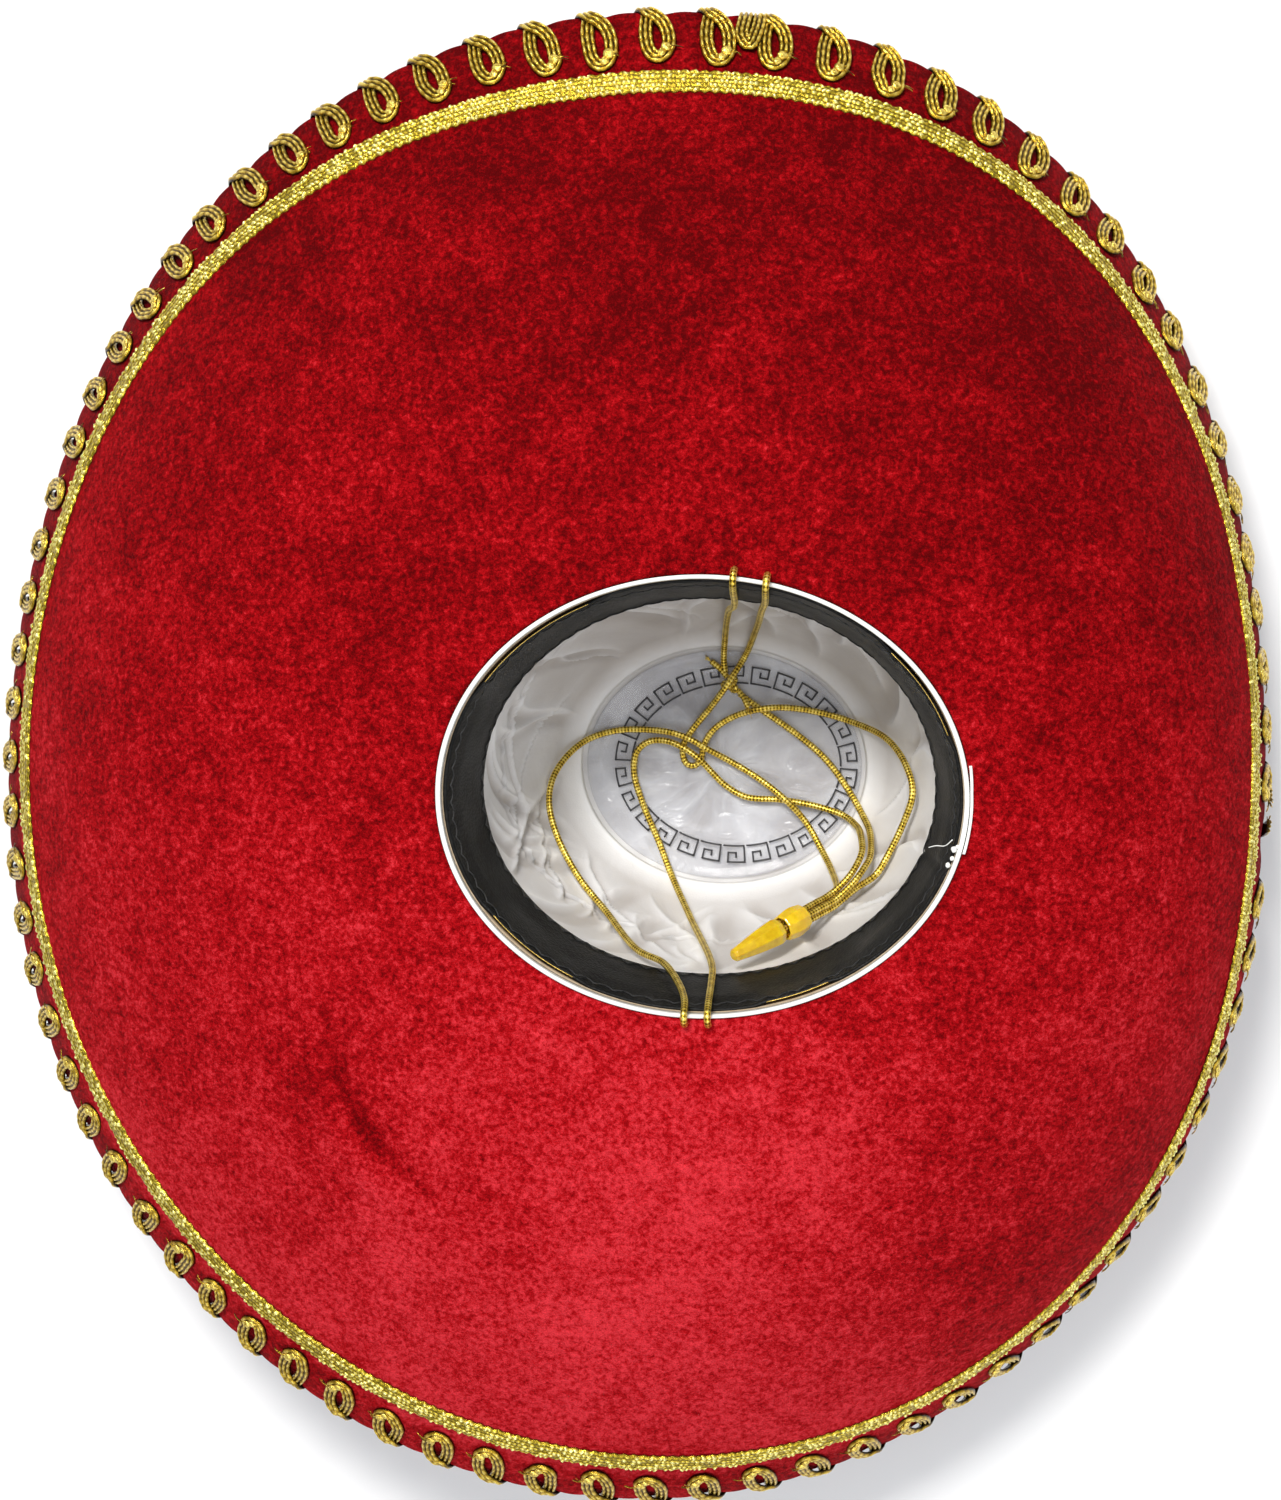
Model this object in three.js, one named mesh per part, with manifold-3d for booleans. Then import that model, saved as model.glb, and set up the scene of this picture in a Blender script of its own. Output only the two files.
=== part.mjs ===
// Charro sombrero, standing crown down: velvet over stiff boards, gold braid trim, a lined crown and a
// chin cord that lies loose inside it. Millimetres, +Z up, +X towards the wearer's back, +Y towards the
// wearer's left. Everything is built round the centre of the head opening, in the plane of the brim's
// inner edge, and the finished hat is then stood on its crown.
import * as THREE from 'three';
import { mergeVertices } from 'three/addons/utils/BufferGeometryUtils.js';
import Module from 'manifold-3d';

// ---------------------------------------------------------------- driving dimensions
const OPENING_LENGTH = 200;      // front to back, over the white strip
const OPENING_WIDTH = 166.6;     // side to side
const GAP = 0.3;                 // between pieces that touch
const AROUND = 36;               // facets round the hat

const BOARD = 2;                 // thickness of the brim and crown boards
const VELVET = 1.2;
const WIRE_RADIUS = 0.8;
const LIP_CURL = 14;             // extra turn of the last part of the brim, degrees
const LIP_POWER = 8;

// The brim at eight bearings round the opening, starting at the back and going towards the wearer's
// left: its reach along the board, and the angle through which it has turned down at the edge.
const BRIM = [
  { bearing: 'back', reach: 163, curl: 75 },
  { bearing: 'back left', reach: 202, curl: 60 },
  { bearing: 'left', reach: 213, curl: 20 },
  { bearing: 'front left', reach: 231, curl: 37 },
  { bearing: 'front', reach: 238, curl: 53 },
  { bearing: 'front right', reach: 231, curl: 35 },
  { bearing: 'right', reach: 237, curl: 40 },
  { bearing: 'back right', reach: 211, curl: 67 },
];

const BRAID_WIDTH = 9.5;
const BRAID_THICK = 1.2;
const BRAID_INSET = 27;          // from the velvet's edge to the braid ring's outer edge
const TRIM_WIDTH = 20;           // how far the edge loops reach in from the velvet's edge
const TRIM_THICK = 1.8;

// Crown: outer face of the crown board, mean radius and height below the opening.
const CROWN = [
  [91.35, -0.8], [89.6, -25], [86.5, -50], [82.5, -78], [77.5, -104], [70.5, -126], [62, -140], [50, -149],
];
const DENT_DEPTH = 0.06;         // share of the radius, at four places near the crown's tip
const DENT_HEIGHT = -118;
const DENT_SPREAD = 28;

const STRIP_TOP = 3.6;           // white strip round the opening
const STRIP_THICK = 2;
const BAND_TOP = -1.2;           // sweatband
const BAND_BOTTOM = -35.5;
const BAND_THICK = 1.2;
const TAPE_THICK = 0.35;
const TAPE_BOTTOM = -14;
const TAPE_LEAN = 1;
const LINING = 1;
const PATCH_RADIUS = 53;
const PATCH_THICK = 0.5;
const HATBAND_RADIUS = 3;
const HATBAND_TOP = -8.8;

// Chin cord and its fittings. The bead and the cord end lie on one straight line, the bundle axis.
const CORD_DIAMETER = 2.9;
const CORD_SIDES = 8;
const HOLE_RADIUS = 2.1;
const HOLE_SETBACK = 4;          // from the brim's inner edge
const STRAND_OFFSET = 2.45;      // each strand's distance from the bundle axis
const BUNDLE_END = new THREE.Vector3(36, -55, -67);
const CORD_TIP = new THREE.Vector3(9.5, -67, -40.5);
const STRAIGHT_STOPS = [16.5, 8, 0, -21];
const BEAD_LENGTH = 12;
const BEAD_RADIUS = 6.25;
const BEAD_BORE = 4.4;
const END_START = 13.8;          // from the bead's far end to the cord end's mouth
const END_LENGTH = 25.2;
const END_BORE_DEPTH = 10;
const KNOT_CENTRE = [3, 34, -122.3];
const KNOT_RADII = [4.2, 4.2, 3];

// ---------------------------------------------------------------- derived dimensions
const HALF_LENGTH = OPENING_LENGTH / 2;
const HALF_WIDTH = OPENING_WIDTH / 2;
const MEAN_RADIUS = (HALF_LENGTH + HALF_WIDTH) / 2;
const STRETCH_X = HALF_LENGTH / MEAN_RADIUS;
const STRETCH_Y = HALF_WIDTH / MEAN_RADIUS;
const VELVET_NEAR = BOARD / 2 + GAP;
const VELVET_FAR = VELVET_NEAR + VELVET;
const BRAID_NEAR = VELVET_FAR + GAP;
const EDGE_LIP = 2 * WIRE_RADIUS + 3 * GAP;      // from the board's edge to the inside of the velvet's edge
const VELVET_EDGE = EDGE_LIP + VELVET;
const CORD_RADIUS = CORD_DIAMETER / 2;

// ---------------------------------------------------------------- materials
const material = (color, roughness, metalness = 0) =>
  new THREE.MeshStandardMaterial({ color, roughness, metalness });
const velvet = () => material(0x9c0a1a, 0.9);
const gold = () => material(0xc9a63a, 0.35, 0.8);
const board = () => material(0xb79b74, 0.95);
const steel = () => material(0x8d9095, 0.4, 1);
const whitePlastic = () => material(0xf2f2ea, 0.45);
const blackVinyl = () => material(0x1b1a1a, 0.4);
const liningCloth = () => material(0xc9c9cc, 0.8);
const clearPlastic = () => material(0xd4d6dc, 0.2);
const yellowPlastic = () => material(0xe0a800, 0.35);

const hat = new THREE.Group();
const chinCord = new THREE.Group();

function piece(name, geometry, look, parent = hat) {
  const mesh = new THREE.Mesh(geometry, look);
  mesh.name = name;
  parent.add(mesh);
  return mesh;
}

// ---------------------------------------------------------------- the brim's surface
// A value given at the eight bearings, carried smoothly round the hat.
function roundTheBrim(key, theta) {
  const count = BRIM.length;
  let sum = 0;
  BRIM.forEach((point, index) => {
    const turn = theta - (2 * Math.PI * index) / count;
    let weight = 1 + Math.cos((count / 2) * turn);
    for (let wave = 1; wave < count / 2; wave += 1) weight += 2 * Math.cos(wave * turn);
    sum += (point[key] * weight) / count;
  });
  return sum;
}

function slopeAt(theta, share) {
  const degrees = roundTheBrim('curl', theta) * share + LIP_CURL * share ** LIP_POWER;
  return THREE.MathUtils.degToRad(degrees);
}

// A point of the brim: bearing, distance along the board from the opening, and height over its middle.
function brimPoint(theta, along, lift) {
  const reach = roundTheBrim('reach', theta);
  const curved = Math.min(along, reach);
  const steps = 48;
  let outward = 0;
  let height = 0;
  for (let step = 0; step < steps; step += 1) {
    const slope = slopeAt(theta, (curved * (step + 0.5)) / steps / reach);
    outward += (Math.cos(slope) * curved) / steps;
    height -= (Math.sin(slope) * curved) / steps;
  }
  const slope = slopeAt(theta, curved / reach);
  const beyond = along - curved;
  outward += Math.cos(slope) * beyond + Math.sin(slope) * lift;
  height += Math.cos(slope) * lift - Math.sin(slope) * beyond;
  const normal = new THREE.Vector2(HALF_WIDTH * Math.cos(theta), HALF_LENGTH * Math.sin(theta)).normalize();
  return new THREE.Vector3(
    HALF_LENGTH * Math.cos(theta) + normal.x * outward,
    HALF_WIDTH * Math.sin(theta) + normal.y * outward,
    height,
  );
}

// Brim pieces are lathed as a flat ring and then bent. On the flat ring the part between the opening and
// the braid has one fixed width, and the part outside it keeps its real width.
const RING_INSIDE = 200;
const PLAIN_PART = 100;
const BRAID_INNER = BRAID_INSET + BRAID_WIDTH - VELVET_EDGE;     // from the board's edge, inwards
const BRAID_OUTER = BRAID_INSET - VELVET_EDGE;
const TRIM_INNER = TRIM_WIDTH - VELVET_EDGE;
const edgeStation = (fromEdge) => PLAIN_PART + BRAID_INNER + fromEdge;
const STATIONS = [
  0, 0.25 * PLAIN_PART, 0.5 * PLAIN_PART, 0.75 * PLAIN_PART,
  edgeStation(-BRAID_INNER), edgeStation(-BRAID_OUTER), edgeStation(-TRIM_INNER), edgeStation(-TRIM_INNER / 2),
  edgeStation(0),
];

function bendToBrim(geometry) {
  const places = geometry.attributes.position;
  for (let index = 0; index < places.count; index += 1) {
    const theta = Math.atan2(places.getY(index), places.getX(index));
    const station = Math.hypot(places.getX(index), places.getY(index)) - RING_INSIDE;
    const reach = roundTheBrim('reach', theta);
    const plain = reach - BRAID_INNER;
    const along = station <= PLAIN_PART ? (station / PLAIN_PART) * plain : plain + station - PLAIN_PART;
    const bent = brimPoint(theta, along, places.getZ(index));
    places.setXYZ(index, bent.x, bent.y, bent.z);
  }
  return geometry;
}

// Lathes a closed outline of [radius, height] points about +Z. The two faces of a sheet get the same
// diagonals, so that layers keep their distance once they are bent.
function lathe(outline, segments = AROUND) {
  const points = outline.map(([radius, height]) => new THREE.Vector2(radius, height));
  const geometry = new THREE.LatheGeometry(points, segments);
  const faces = [];
  for (let turn = 0; turn < segments; turn += 1) {
    for (let step = 0; step < points.length - 1; step += 1) {
      const a = turn * points.length + step;
      const [b, c, d] = [a + points.length, a + points.length + 1, a + 1];
      const ahead = points[step + 1].clone().sub(points[step]);
      const runsBack = (ahead.x || ahead.y) < 0;
      faces.push(...(runsBack ? [a, b, c, c, d, a] : [a, b, d, c, d, b]));
    }
  }
  geometry.setIndex(faces);
  geometry.rotateX(Math.PI / 2);
  geometry.rotateZ(Math.PI / 2);
  return geometry;
}

function brimRing(outline) {
  const closed = [...outline, outline[0]];
  return bendToBrim(lathe(closed.map(([station, lift]) => [RING_INSIDE + station, lift])));
}

// A layer between two heights over the board's middle, on the shared stations.
function brimLayer(low, high, stations) {
  return brimRing([
    ...stations.map((station) => [station, low]),
    ...[...stations].reverse().map((station) => [station, high]),
  ]);
}

// ---------------------------------------------------------------- the crown's surface
function stretchToHead(geometry, dented = false) {
  const places = geometry.attributes.position;
  for (let index = 0; index < places.count; index += 1) {
    const theta = Math.atan2(places.getY(index), places.getX(index));
    const nearTip = Math.exp(-(((places.getZ(index) - DENT_HEIGHT) / DENT_SPREAD) ** 2));
    const between = Math.max(0, -Math.cos(4 * theta));
    const share = dented ? 1 - DENT_DEPTH * nearTip * between : 1;
    places.setX(index, places.getX(index) * STRETCH_X * share);
    places.setY(index, places.getY(index) * STRETCH_Y * share);
  }
  return geometry;
}

const headRing = (outline) => stretchToHead(lathe([...outline, outline[0]]));

// The crown's outline moved outwards by a distance, from a given height down to the flat tip.
function crownOutline(outwards, top) {
  const moved = CROWN.map(([radius, height], index) => {
    const before = CROWN[Math.max(index - 1, 0)];
    const after = CROWN[Math.min(index + 1, CROWN.length - 1)];
    const along = new THREE.Vector2(after[0] - before[0], after[1] - before[1]).normalize();
    return [radius - along.y * outwards, height + along.x * outwards];
  });
  moved[0] = [CROWN[0][0] + outwards, top];
  moved[moved.length - 1][1] = CROWN.at(-1)[1] - outwards;
  return [...moved, [0, CROWN.at(-1)[1] - outwards]];
}

function crownShell(inner, outer, top) {
  const outline = [...crownOutline(outer, top).reverse(), ...crownOutline(inner, top)];
  return stretchToHead(lathe(outline), true);
}

// ---------------------------------------------------------------- joining and cutting
const wasm = await Module();
wasm.setup();

function toSolid(geometry) {
  const bare = geometry.clone();
  bare.deleteAttribute('normal');
  bare.deleteAttribute('uv');
  const merged = mergeVertices(bare, 1e-4);
  return new wasm.Manifold(new wasm.Mesh({
    numProp: 3,
    vertProperties: new Float32Array(merged.attributes.position.array),
    triVerts: new Uint32Array(merged.index.array),
  }));
}

function toGeometry(solid) {
  const mesh = solid.getMesh();
  const geometry = new THREE.BufferGeometry();
  geometry.setAttribute('position', new THREE.BufferAttribute(mesh.vertProperties, 3));
  geometry.setIndex(new THREE.BufferAttribute(mesh.triVerts, 1));
  return geometry;
}

// The four holes that the chin cord passes through: the bearing's x on the brim's inner edge, and side.
const CORD_HOLES = [
  { x: 12.4, side: 1 },
  { x: 24.4, side: 1 },
  { x: -5.4, side: -1 },
  { x: 3.3, side: -1 },
];

function holePlace({ x, side }) {
  const theta = side * Math.acos(x / HALF_LENGTH);
  return brimPoint(theta, HOLE_SETBACK, 0);
}

function withCordHoles(geometry) {
  let solid = toSolid(geometry);
  CORD_HOLES.forEach((hole) => {
    const place = holePlace(hole);
    const drill = new THREE.CylinderGeometry(HOLE_RADIUS, HOLE_RADIUS, 12, 10);
    drill.rotateX(Math.PI / 2);
    drill.translate(place.x, place.y, 0);
    solid = solid.subtract(toSolid(drill));
  });
  return toGeometry(solid);
}

// ---------------------------------------------------------------- brim
function addBrim() {
  const lipStations = [...STATIONS, edgeStation(EDGE_LIP - GAP)];
  piece('brim_board', withCordHoles(brimLayer(-BOARD / 2, BOARD / 2, STATIONS)), board());
  piece('upper_brim_velvet', withCordHoles(brimLayer(-VELVET_FAR, -VELVET_NEAR, lipStations)), velvet());

  const lip = edgeStation(EDGE_LIP);
  const edge = edgeStation(VELVET_EDGE);
  const underVelvet = brimRing([
    ...STATIONS.map((station) => [station, VELVET_NEAR]),
    [lip, VELVET_NEAR], [lip, -VELVET_FAR], [edge, -VELVET_FAR], [edge, VELVET_FAR],
    ...[...STATIONS].reverse().map((station) => [station, VELVET_FAR]),
  ]);
  piece('under_brim_velvet', withCordHoles(underVelvet), velvet());

  const wireSection = Array.from({ length: 6 }, (_, corner) => {
    const angle = (Math.PI * corner) / 3;
    const middle = edgeStation(WIRE_RADIUS + GAP);
    return [middle + WIRE_RADIUS * Math.cos(angle), WIRE_RADIUS * Math.sin(angle)];
  });
  piece('brim_wire', brimRing(wireSection), steel());
}

function addBrimTrim() {
  const braid = [edgeStation(-BRAID_INNER), edgeStation(-BRAID_OUTER)];
  piece('under_brim_braid', brimLayer(BRAID_NEAR, BRAID_NEAR + BRAID_THICK, braid), gold());
  piece('upper_brim_braid', brimLayer(-BRAID_NEAR - BRAID_THICK, -BRAID_NEAR, braid), gold());

  const legs = [edgeStation(-TRIM_INNER), edgeStation(-TRIM_INNER / 2), edgeStation(0)];
  const inside = edgeStation(VELVET_EDGE + GAP);
  const outside = inside + TRIM_THICK;
  const near = BRAID_NEAR;
  const far = near + TRIM_THICK;
  const outwards = (lift) => legs.map((station) => [station, lift]);
  const inwards = (lift) => outwards(lift).reverse();
  const loops = brimRing([
    ...outwards(-far), [outside, -far], [outside, far], ...inwards(far),
    ...outwards(near), [inside, near], [inside, -near], ...inwards(-near),
  ]);
  piece('edge_loop_braid', loops, gold());
}

// ---------------------------------------------------------------- crown
function addCrown() {
  const velvetInner = GAP;
  piece('crown_board', crownShell(-BOARD, 0, CROWN[0][1]), board());
  piece('crown_velvet', crownShell(velvetInner, velvetInner + VELVET, -VELVET_FAR - GAP), velvet());

  for (let turn = 0; turn < 2; turn += 1) {
    const height = HATBAND_TOP - HATBAND_RADIUS - turn * (2 * HATBAND_RADIUS + GAP);
    const radius = CROWN[0][0] + velvetInner + VELVET + GAP + HATBAND_RADIUS - turn * GAP;
    const section = Array.from({ length: 8 }, (_, corner) => {
      const angle = (Math.PI * (corner + 0.5)) / 4;
      return [radius + HATBAND_RADIUS * Math.cos(angle), height + HATBAND_RADIUS * Math.sin(angle)];
    });
    piece(`hatband_cord_${turn + 1}`, headRing(section), gold());
  }
}

// ---------------------------------------------------------------- inside the opening
function addHeadBand() {
  const boardTop = CROWN[0];
  const stripOuter = boardTop[0];
  const stripInner = stripOuter - STRIP_THICK;
  piece('head_strip', headRing([
    [stripInner, boardTop[1] + GAP], [stripOuter, boardTop[1] + GAP],
    [stripOuter, STRIP_TOP], [stripInner, STRIP_TOP],
  ]), whitePlastic());

  const tapeOuter = boardTop[0] - BOARD - GAP;
  const tapeInner = tapeOuter - TAPE_THICK;
  piece('sweatband_tape', headRing([
    [tapeInner - TAPE_LEAN, TAPE_BOTTOM], [tapeOuter - TAPE_LEAN, TAPE_BOTTOM],
    [tapeOuter, boardTop[1]], [tapeInner, boardTop[1]],
  ]), gold());

  piece('sweatband', headRing([
    [80.2, BAND_BOTTOM], [80.2 + BAND_THICK, BAND_BOTTOM], [84.6 + BAND_THICK, -14],
    [87.2 + BAND_THICK, BAND_TOP], [87.2, BAND_TOP], [84.6, -14],
  ]), blackVinyl());
}

// The lining's inner face, mean radius and height, and the oval of its tip.
const LINING_SIDE = [
  [86.6, -15], [82.2, -34.5], [80.4, -38.5], [79, -60], [74.5, -82], [68, -102], [61, -116], [57, -121.2],
];
const LINING_TIP = [[56.4, -121.8], [54, -124], [44, -126.5], [0, -127]];
const PATCH_FACE = [[PATCH_RADIUS, -123.95], [44, -126.2], [0, -126.7]];

function addLining() {
  const outer = LINING_SIDE.map(([radius, height], index) => {
    const lower = index / (LINING_SIDE.length - 1);
    return [radius + LINING * (1 - 0.3 * lower), height - LINING * lower ** 2];
  });
  piece('lining_side', headRing([...outer.reverse(), ...LINING_SIDE]), liningCloth());

  const below = LINING_TIP.map(([radius, height]) => [radius, height - LINING]);
  piece('lining_tip', stretchToHead(lathe([...below.reverse(), ...LINING_TIP])), liningCloth());

  const above = PATCH_FACE.map(([radius, height]) => [radius, height + PATCH_THICK]);
  piece('tip_patch', stretchToHead(lathe([...PATCH_FACE.toReversed(), ...above])), clearPlastic());
}

// ---------------------------------------------------------------- chin cord
const BUNDLE_WAY = BUNDLE_END.clone().sub(CORD_TIP).normalize();

// Two directions across the bundle: away from the crown's wall, and up.
function acrossBundle() {
  const wall = new THREE.Vector3(-BUNDLE_END.x / HALF_LENGTH ** 2, -BUNDLE_END.y / HALF_WIDTH ** 2, 0);
  const inward = wall.addScaledVector(BUNDLE_WAY, -wall.dot(BUNDLE_WAY)).normalize();
  const upward = BUNDLE_WAY.clone().cross(inward);
  return { inward, upward };
}
const { inward: INWARD, upward: UPWARD } = acrossBundle();

// A strand's straight end: out of the bundle's bend, through the bead and into the cord end.
function strandEnd(direction, share) {
  return STRAIGHT_STOPS.map((stop) =>
    BUNDLE_END.clone().addScaledVector(BUNDLE_WAY, stop).addScaledVector(direction, share * STRAND_OFFSET));
}

const place = ([x, y, z]) => new THREE.Vector3(x, y, z);

function cordTube(name, points, steps) {
  const section = new THREE.Shape();
  for (let corner = 0; corner < CORD_SIDES; corner += 1) {
    const angle = (2 * Math.PI * (corner + 0.5)) / CORD_SIDES;
    const spot = [CORD_RADIUS * Math.cos(angle), CORD_RADIUS * Math.sin(angle)];
    if (corner === 0) section.moveTo(...spot);
    else section.lineTo(...spot);
  }
  section.closePath();
  const extrudePath = new THREE.CatmullRomCurve3(points, false, 'centripetal');
  const geometry = new THREE.ExtrudeGeometry(section, { steps, extrudePath, bevelEnabled: false });
  piece(name, geometry, gold(), chinCord);
}

// Routes from the white strip down into the crown.
const LEFT_FRONT = [
  [12.2, 78.6, 4.9], [12.1, 76.6, 1], [11.5, 73, -16], [10, 70, -34], [5, 66, -76.5], [1, 53.5, -115],
  [0, 43.5, -123], [0.5, 38.9, -123.5],
];
const LEFT_BACK = [
  [24.2, 76.7, 4.9], [24, 74.8, 1], [23, 72, -15], [21, 69, -33], [14.5, 57.5, -101.5], [9, 46, -121.5],
  [5.5, 40, -119], [2, 34.5, -117.5], [-1.5, 29.5, -119.5], [-6.5, 23, -123.5], [-13, 15, -124],
  [-16.5, 9, -124], [-17, 3.5, -124], [-13.5, 0, -124], [-10, 3, -124.2], [-8.5, 8, -124],
  [-4.5, 14.5, -124], [2.5, 19.5, -124], [10, 22.5, -122], [16.5, 24, -120], [24, 24.5, -121.5],
  [34, 23.5, -123.3], [44, 21.5, -122.8], [53, 19, -120.3], [68, 13.5, -104], [76.5, 3.5, -87.5],
  [79, -6.5, -80], [75.5, -18.5, -81.5], [69.5, -31.5, -82], [64.5, -39.5, -79], [56, -46, -83],
];
const TAIL = [
  [6.5, 30.1, -124], [10.5, 27, -124], [17, 22.5, -124], [31.5, 12.5, -124], [43, 2.5, -124],
  [52.5, -10, -122], [59, -20.5, -115], [61.5, -25, -107.5], [62, -34, -92.5], [59.5, -38, -85],
  [55.5, -43, -80],
];
const RIGHT_BACK = [
  [3.3, -79.2, 4.9], [3.3, -77.2, 1], [3, -73.5, -16], [2, -69.5, -34], [-11.5, -60.5, -95],
  [-21.5, -46.5, -119], [-27.5, -32.5, -123.5], [-34.5, -16, -124], [-38, -3, -124], [-36.5, 5.5, -124],
  [-31.5, 9.5, -124], [-24.5, 10, -122.5], [-18, 8, -120.5], [-11, 3.5, -120.5], [-5.5, -2.5, -123],
  [0.5, -8.5, -124], [9.5, -13.5, -124], [24, -14.5, -124], [39, -17, -123.5], [50.5, -20.5, -121.3],
  [56, -24, -114.6], [58.3, -27.5, -99.5], [58.7, -32, -91.5], [56.3, -37.3, -86], [52.8, -42, -82],
];
const RIGHT_FRONT = [
  [-5.4, -79.1, 4.9], [-5.6, -77.2, 1], [-9, -73.5, -14], [-17, -68.5, -33], [-28.5, -66, -47],
  [-44.5, -55.5, -76.5], [-57.5, -42.5, -87.5], [-66.5, -27.5, -93.5], [-70.5, -15, -98],
  [-70, -5, -104], [-65, 4, -112.5], [-57, 10.5, -120.5], [-45.5, 14, -123.5], [-32, 14.5, -123.5],
  [-21.5, 13.5, -121], [-14, 11, -120], [-7, 7, -120.5], [2, 2, -123], [14, -5, -122.5],
  [25.5, -13.5, -120], [34.5, -23.5, -122.5], [41.5, -35, -119], [46, -42, -108], [48.5, -48, -83],
];

// The stitch that takes a cord over the strip, through two holes and back, below the brim.
const STITCH_BOTTOM = -5.2;
const OVER_THE_STRIP = [[7.2, 6.6], [5.6, 7.5], [3.6, 7.5], [1.6, 6.2], [0.3, 4], [0, 1.5], [0, -2.7]];

function overTheStrip(route, hole) {
  const [end, next] = route.slice(0, 2).map(place);
  const away = end.clone().sub(next).normalize();
  const foot = holePlace(hole);
  const side = Math.sign(foot.y);
  const arc = OVER_THE_STRIP.map(([setBack, height]) => {
    const x = THREE.MathUtils.mapLinear(setBack, 0, Math.abs(foot.y - end.y), foot.x, end.x);
    return new THREE.Vector3(x, foot.y - side * setBack, height);
  });
  return [end.addScaledVector(away, GAP + 0.1), ...arc];
}

function stitchRoute(front, back, firstHole, secondHole) {
  const [down, up] = [firstHole, secondHole].map(holePlace);
  const between = up.clone().sub(down).setZ(0).normalize();
  const below = (foot, along, height) => foot.clone().addScaledVector(between, along).setZ(height);
  return [
    ...overTheStrip(front, firstHole),
    below(down, 1.2, -4.6), below(down, 3.4, STITCH_BOTTOM),
    below(up, -3.4, STITCH_BOTTOM), below(up, -1.2, -4.6),
    ...overTheStrip(back, secondHole).reverse(),
  ];
}

function addChinCord() {
  cordTube('chin_cord_left_front', LEFT_FRONT.map(place), 13);
  cordTube('chin_cord_left_stitch', stitchRoute(LEFT_FRONT, LEFT_BACK, CORD_HOLES[0], CORD_HOLES[1]), 15);
  cordTube('chin_cord_left_back', [...LEFT_BACK.map(place), ...strandEnd(INWARD, -1)], 46);
  cordTube('chin_cord_tail', [...TAIL.map(place), ...strandEnd(UPWARD, 1)], 18);
  cordTube('chin_cord_right_front', [...RIGHT_FRONT.map(place), ...strandEnd(UPWARD, -1)], 38);
  cordTube('chin_cord_right_stitch', stitchRoute(RIGHT_FRONT, RIGHT_BACK, CORD_HOLES[2], CORD_HOLES[3]), 14);
  cordTube('chin_cord_right_back', [...RIGHT_BACK.map(place), ...strandEnd(INWARD, 1)], 38);

  const knot = piece('cord_knot', new THREE.SphereGeometry(1, 10, 6), gold(), chinCord);
  knot.scale.set(...KNOT_RADII);
  knot.position.set(...KNOT_CENTRE);
}

// The bead and the cord end stand on the bundle axis; their own +Z points along it to the cord's tip.
function addCordFittings() {
  const fittings = new THREE.Group();
  fittings.position.copy(BUNDLE_END);
  fittings.quaternion.setFromUnitVectors(new THREE.Vector3(0, 0, 1), BUNDLE_WAY.clone().negate());
  chinCord.add(fittings);

  const beadOutline = [
    [BEAD_BORE, 0], [BEAD_BORE + 0.6, 0], [BEAD_RADIUS, 4.4], [BEAD_RADIUS, 7.6],
    [BEAD_BORE + 0.6, BEAD_LENGTH], [BEAD_BORE, BEAD_LENGTH],
  ];
  const bead = lathe([...beadOutline, beadOutline[0]], 8);
  piece('slide_bead', bead, yellowPlastic(), fittings);

  const tip = END_START + END_LENGTH;
  const endOutline = [
    [0, END_START + END_BORE_DEPTH], [BEAD_BORE, END_START + END_BORE_DEPTH], [BEAD_BORE, END_START],
    [BEAD_BORE + 0.6, END_START], [5.8, END_START + 3], [4.9, END_START + 11], [3, tip - 5],
    [1.9, tip - 1], [0, tip],
  ];
  piece('cord_end', lathe(endOutline, 8), yellowPlastic(), fittings);
}

// ---------------------------------------------------------------- assembly
addBrim();
addBrimTrim();
addCrown();
addHeadBand();
addLining();
addChinCord();
addCordFittings();

// Stand the hat on its crown, with the middle of its own box on the origin.
hat.updateMatrixWorld(true);
const bounds = new THREE.Box3().setFromObject(hat);
const stand = new THREE.Vector3(
  -(bounds.min.x + bounds.max.x) / 2,
  -(bounds.min.y + bounds.max.y) / 2,
  -bounds.min.z,
);
const sombrero = new THREE.Group();
sombrero.add(hat, chinCord);
sombrero.children.forEach((group) => group.position.copy(stand));

export default sombrero;
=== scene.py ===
"""Charro sombrero lying on its crown, seen into the crown and onto the underside of the brim.

Shapes are worked out in millimetres about the centre of the head opening, in the plane of the brim's
inner edge: +X to the wearer's back, +Y to the wearer's left, +Z up. place() moves them to the row frame.
"""

import math

import bpy
import bmesh
import numpy as np
from mathutils import Matrix, Vector


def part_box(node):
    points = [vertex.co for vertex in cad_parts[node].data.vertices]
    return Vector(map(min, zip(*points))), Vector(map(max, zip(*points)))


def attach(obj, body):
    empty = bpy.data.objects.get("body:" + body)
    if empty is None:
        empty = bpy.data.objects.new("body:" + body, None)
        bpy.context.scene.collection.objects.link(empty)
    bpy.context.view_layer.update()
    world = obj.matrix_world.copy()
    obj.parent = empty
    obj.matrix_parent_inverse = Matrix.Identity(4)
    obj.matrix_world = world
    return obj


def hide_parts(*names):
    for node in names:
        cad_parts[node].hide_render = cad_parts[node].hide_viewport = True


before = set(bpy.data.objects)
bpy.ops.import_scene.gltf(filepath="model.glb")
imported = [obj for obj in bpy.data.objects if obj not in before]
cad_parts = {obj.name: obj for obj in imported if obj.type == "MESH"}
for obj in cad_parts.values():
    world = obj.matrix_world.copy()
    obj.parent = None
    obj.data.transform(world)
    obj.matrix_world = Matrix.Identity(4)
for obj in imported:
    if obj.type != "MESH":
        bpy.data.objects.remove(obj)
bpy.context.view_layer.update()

TAU = 2 * math.pi
rng = np.random.default_rng(20)

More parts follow.
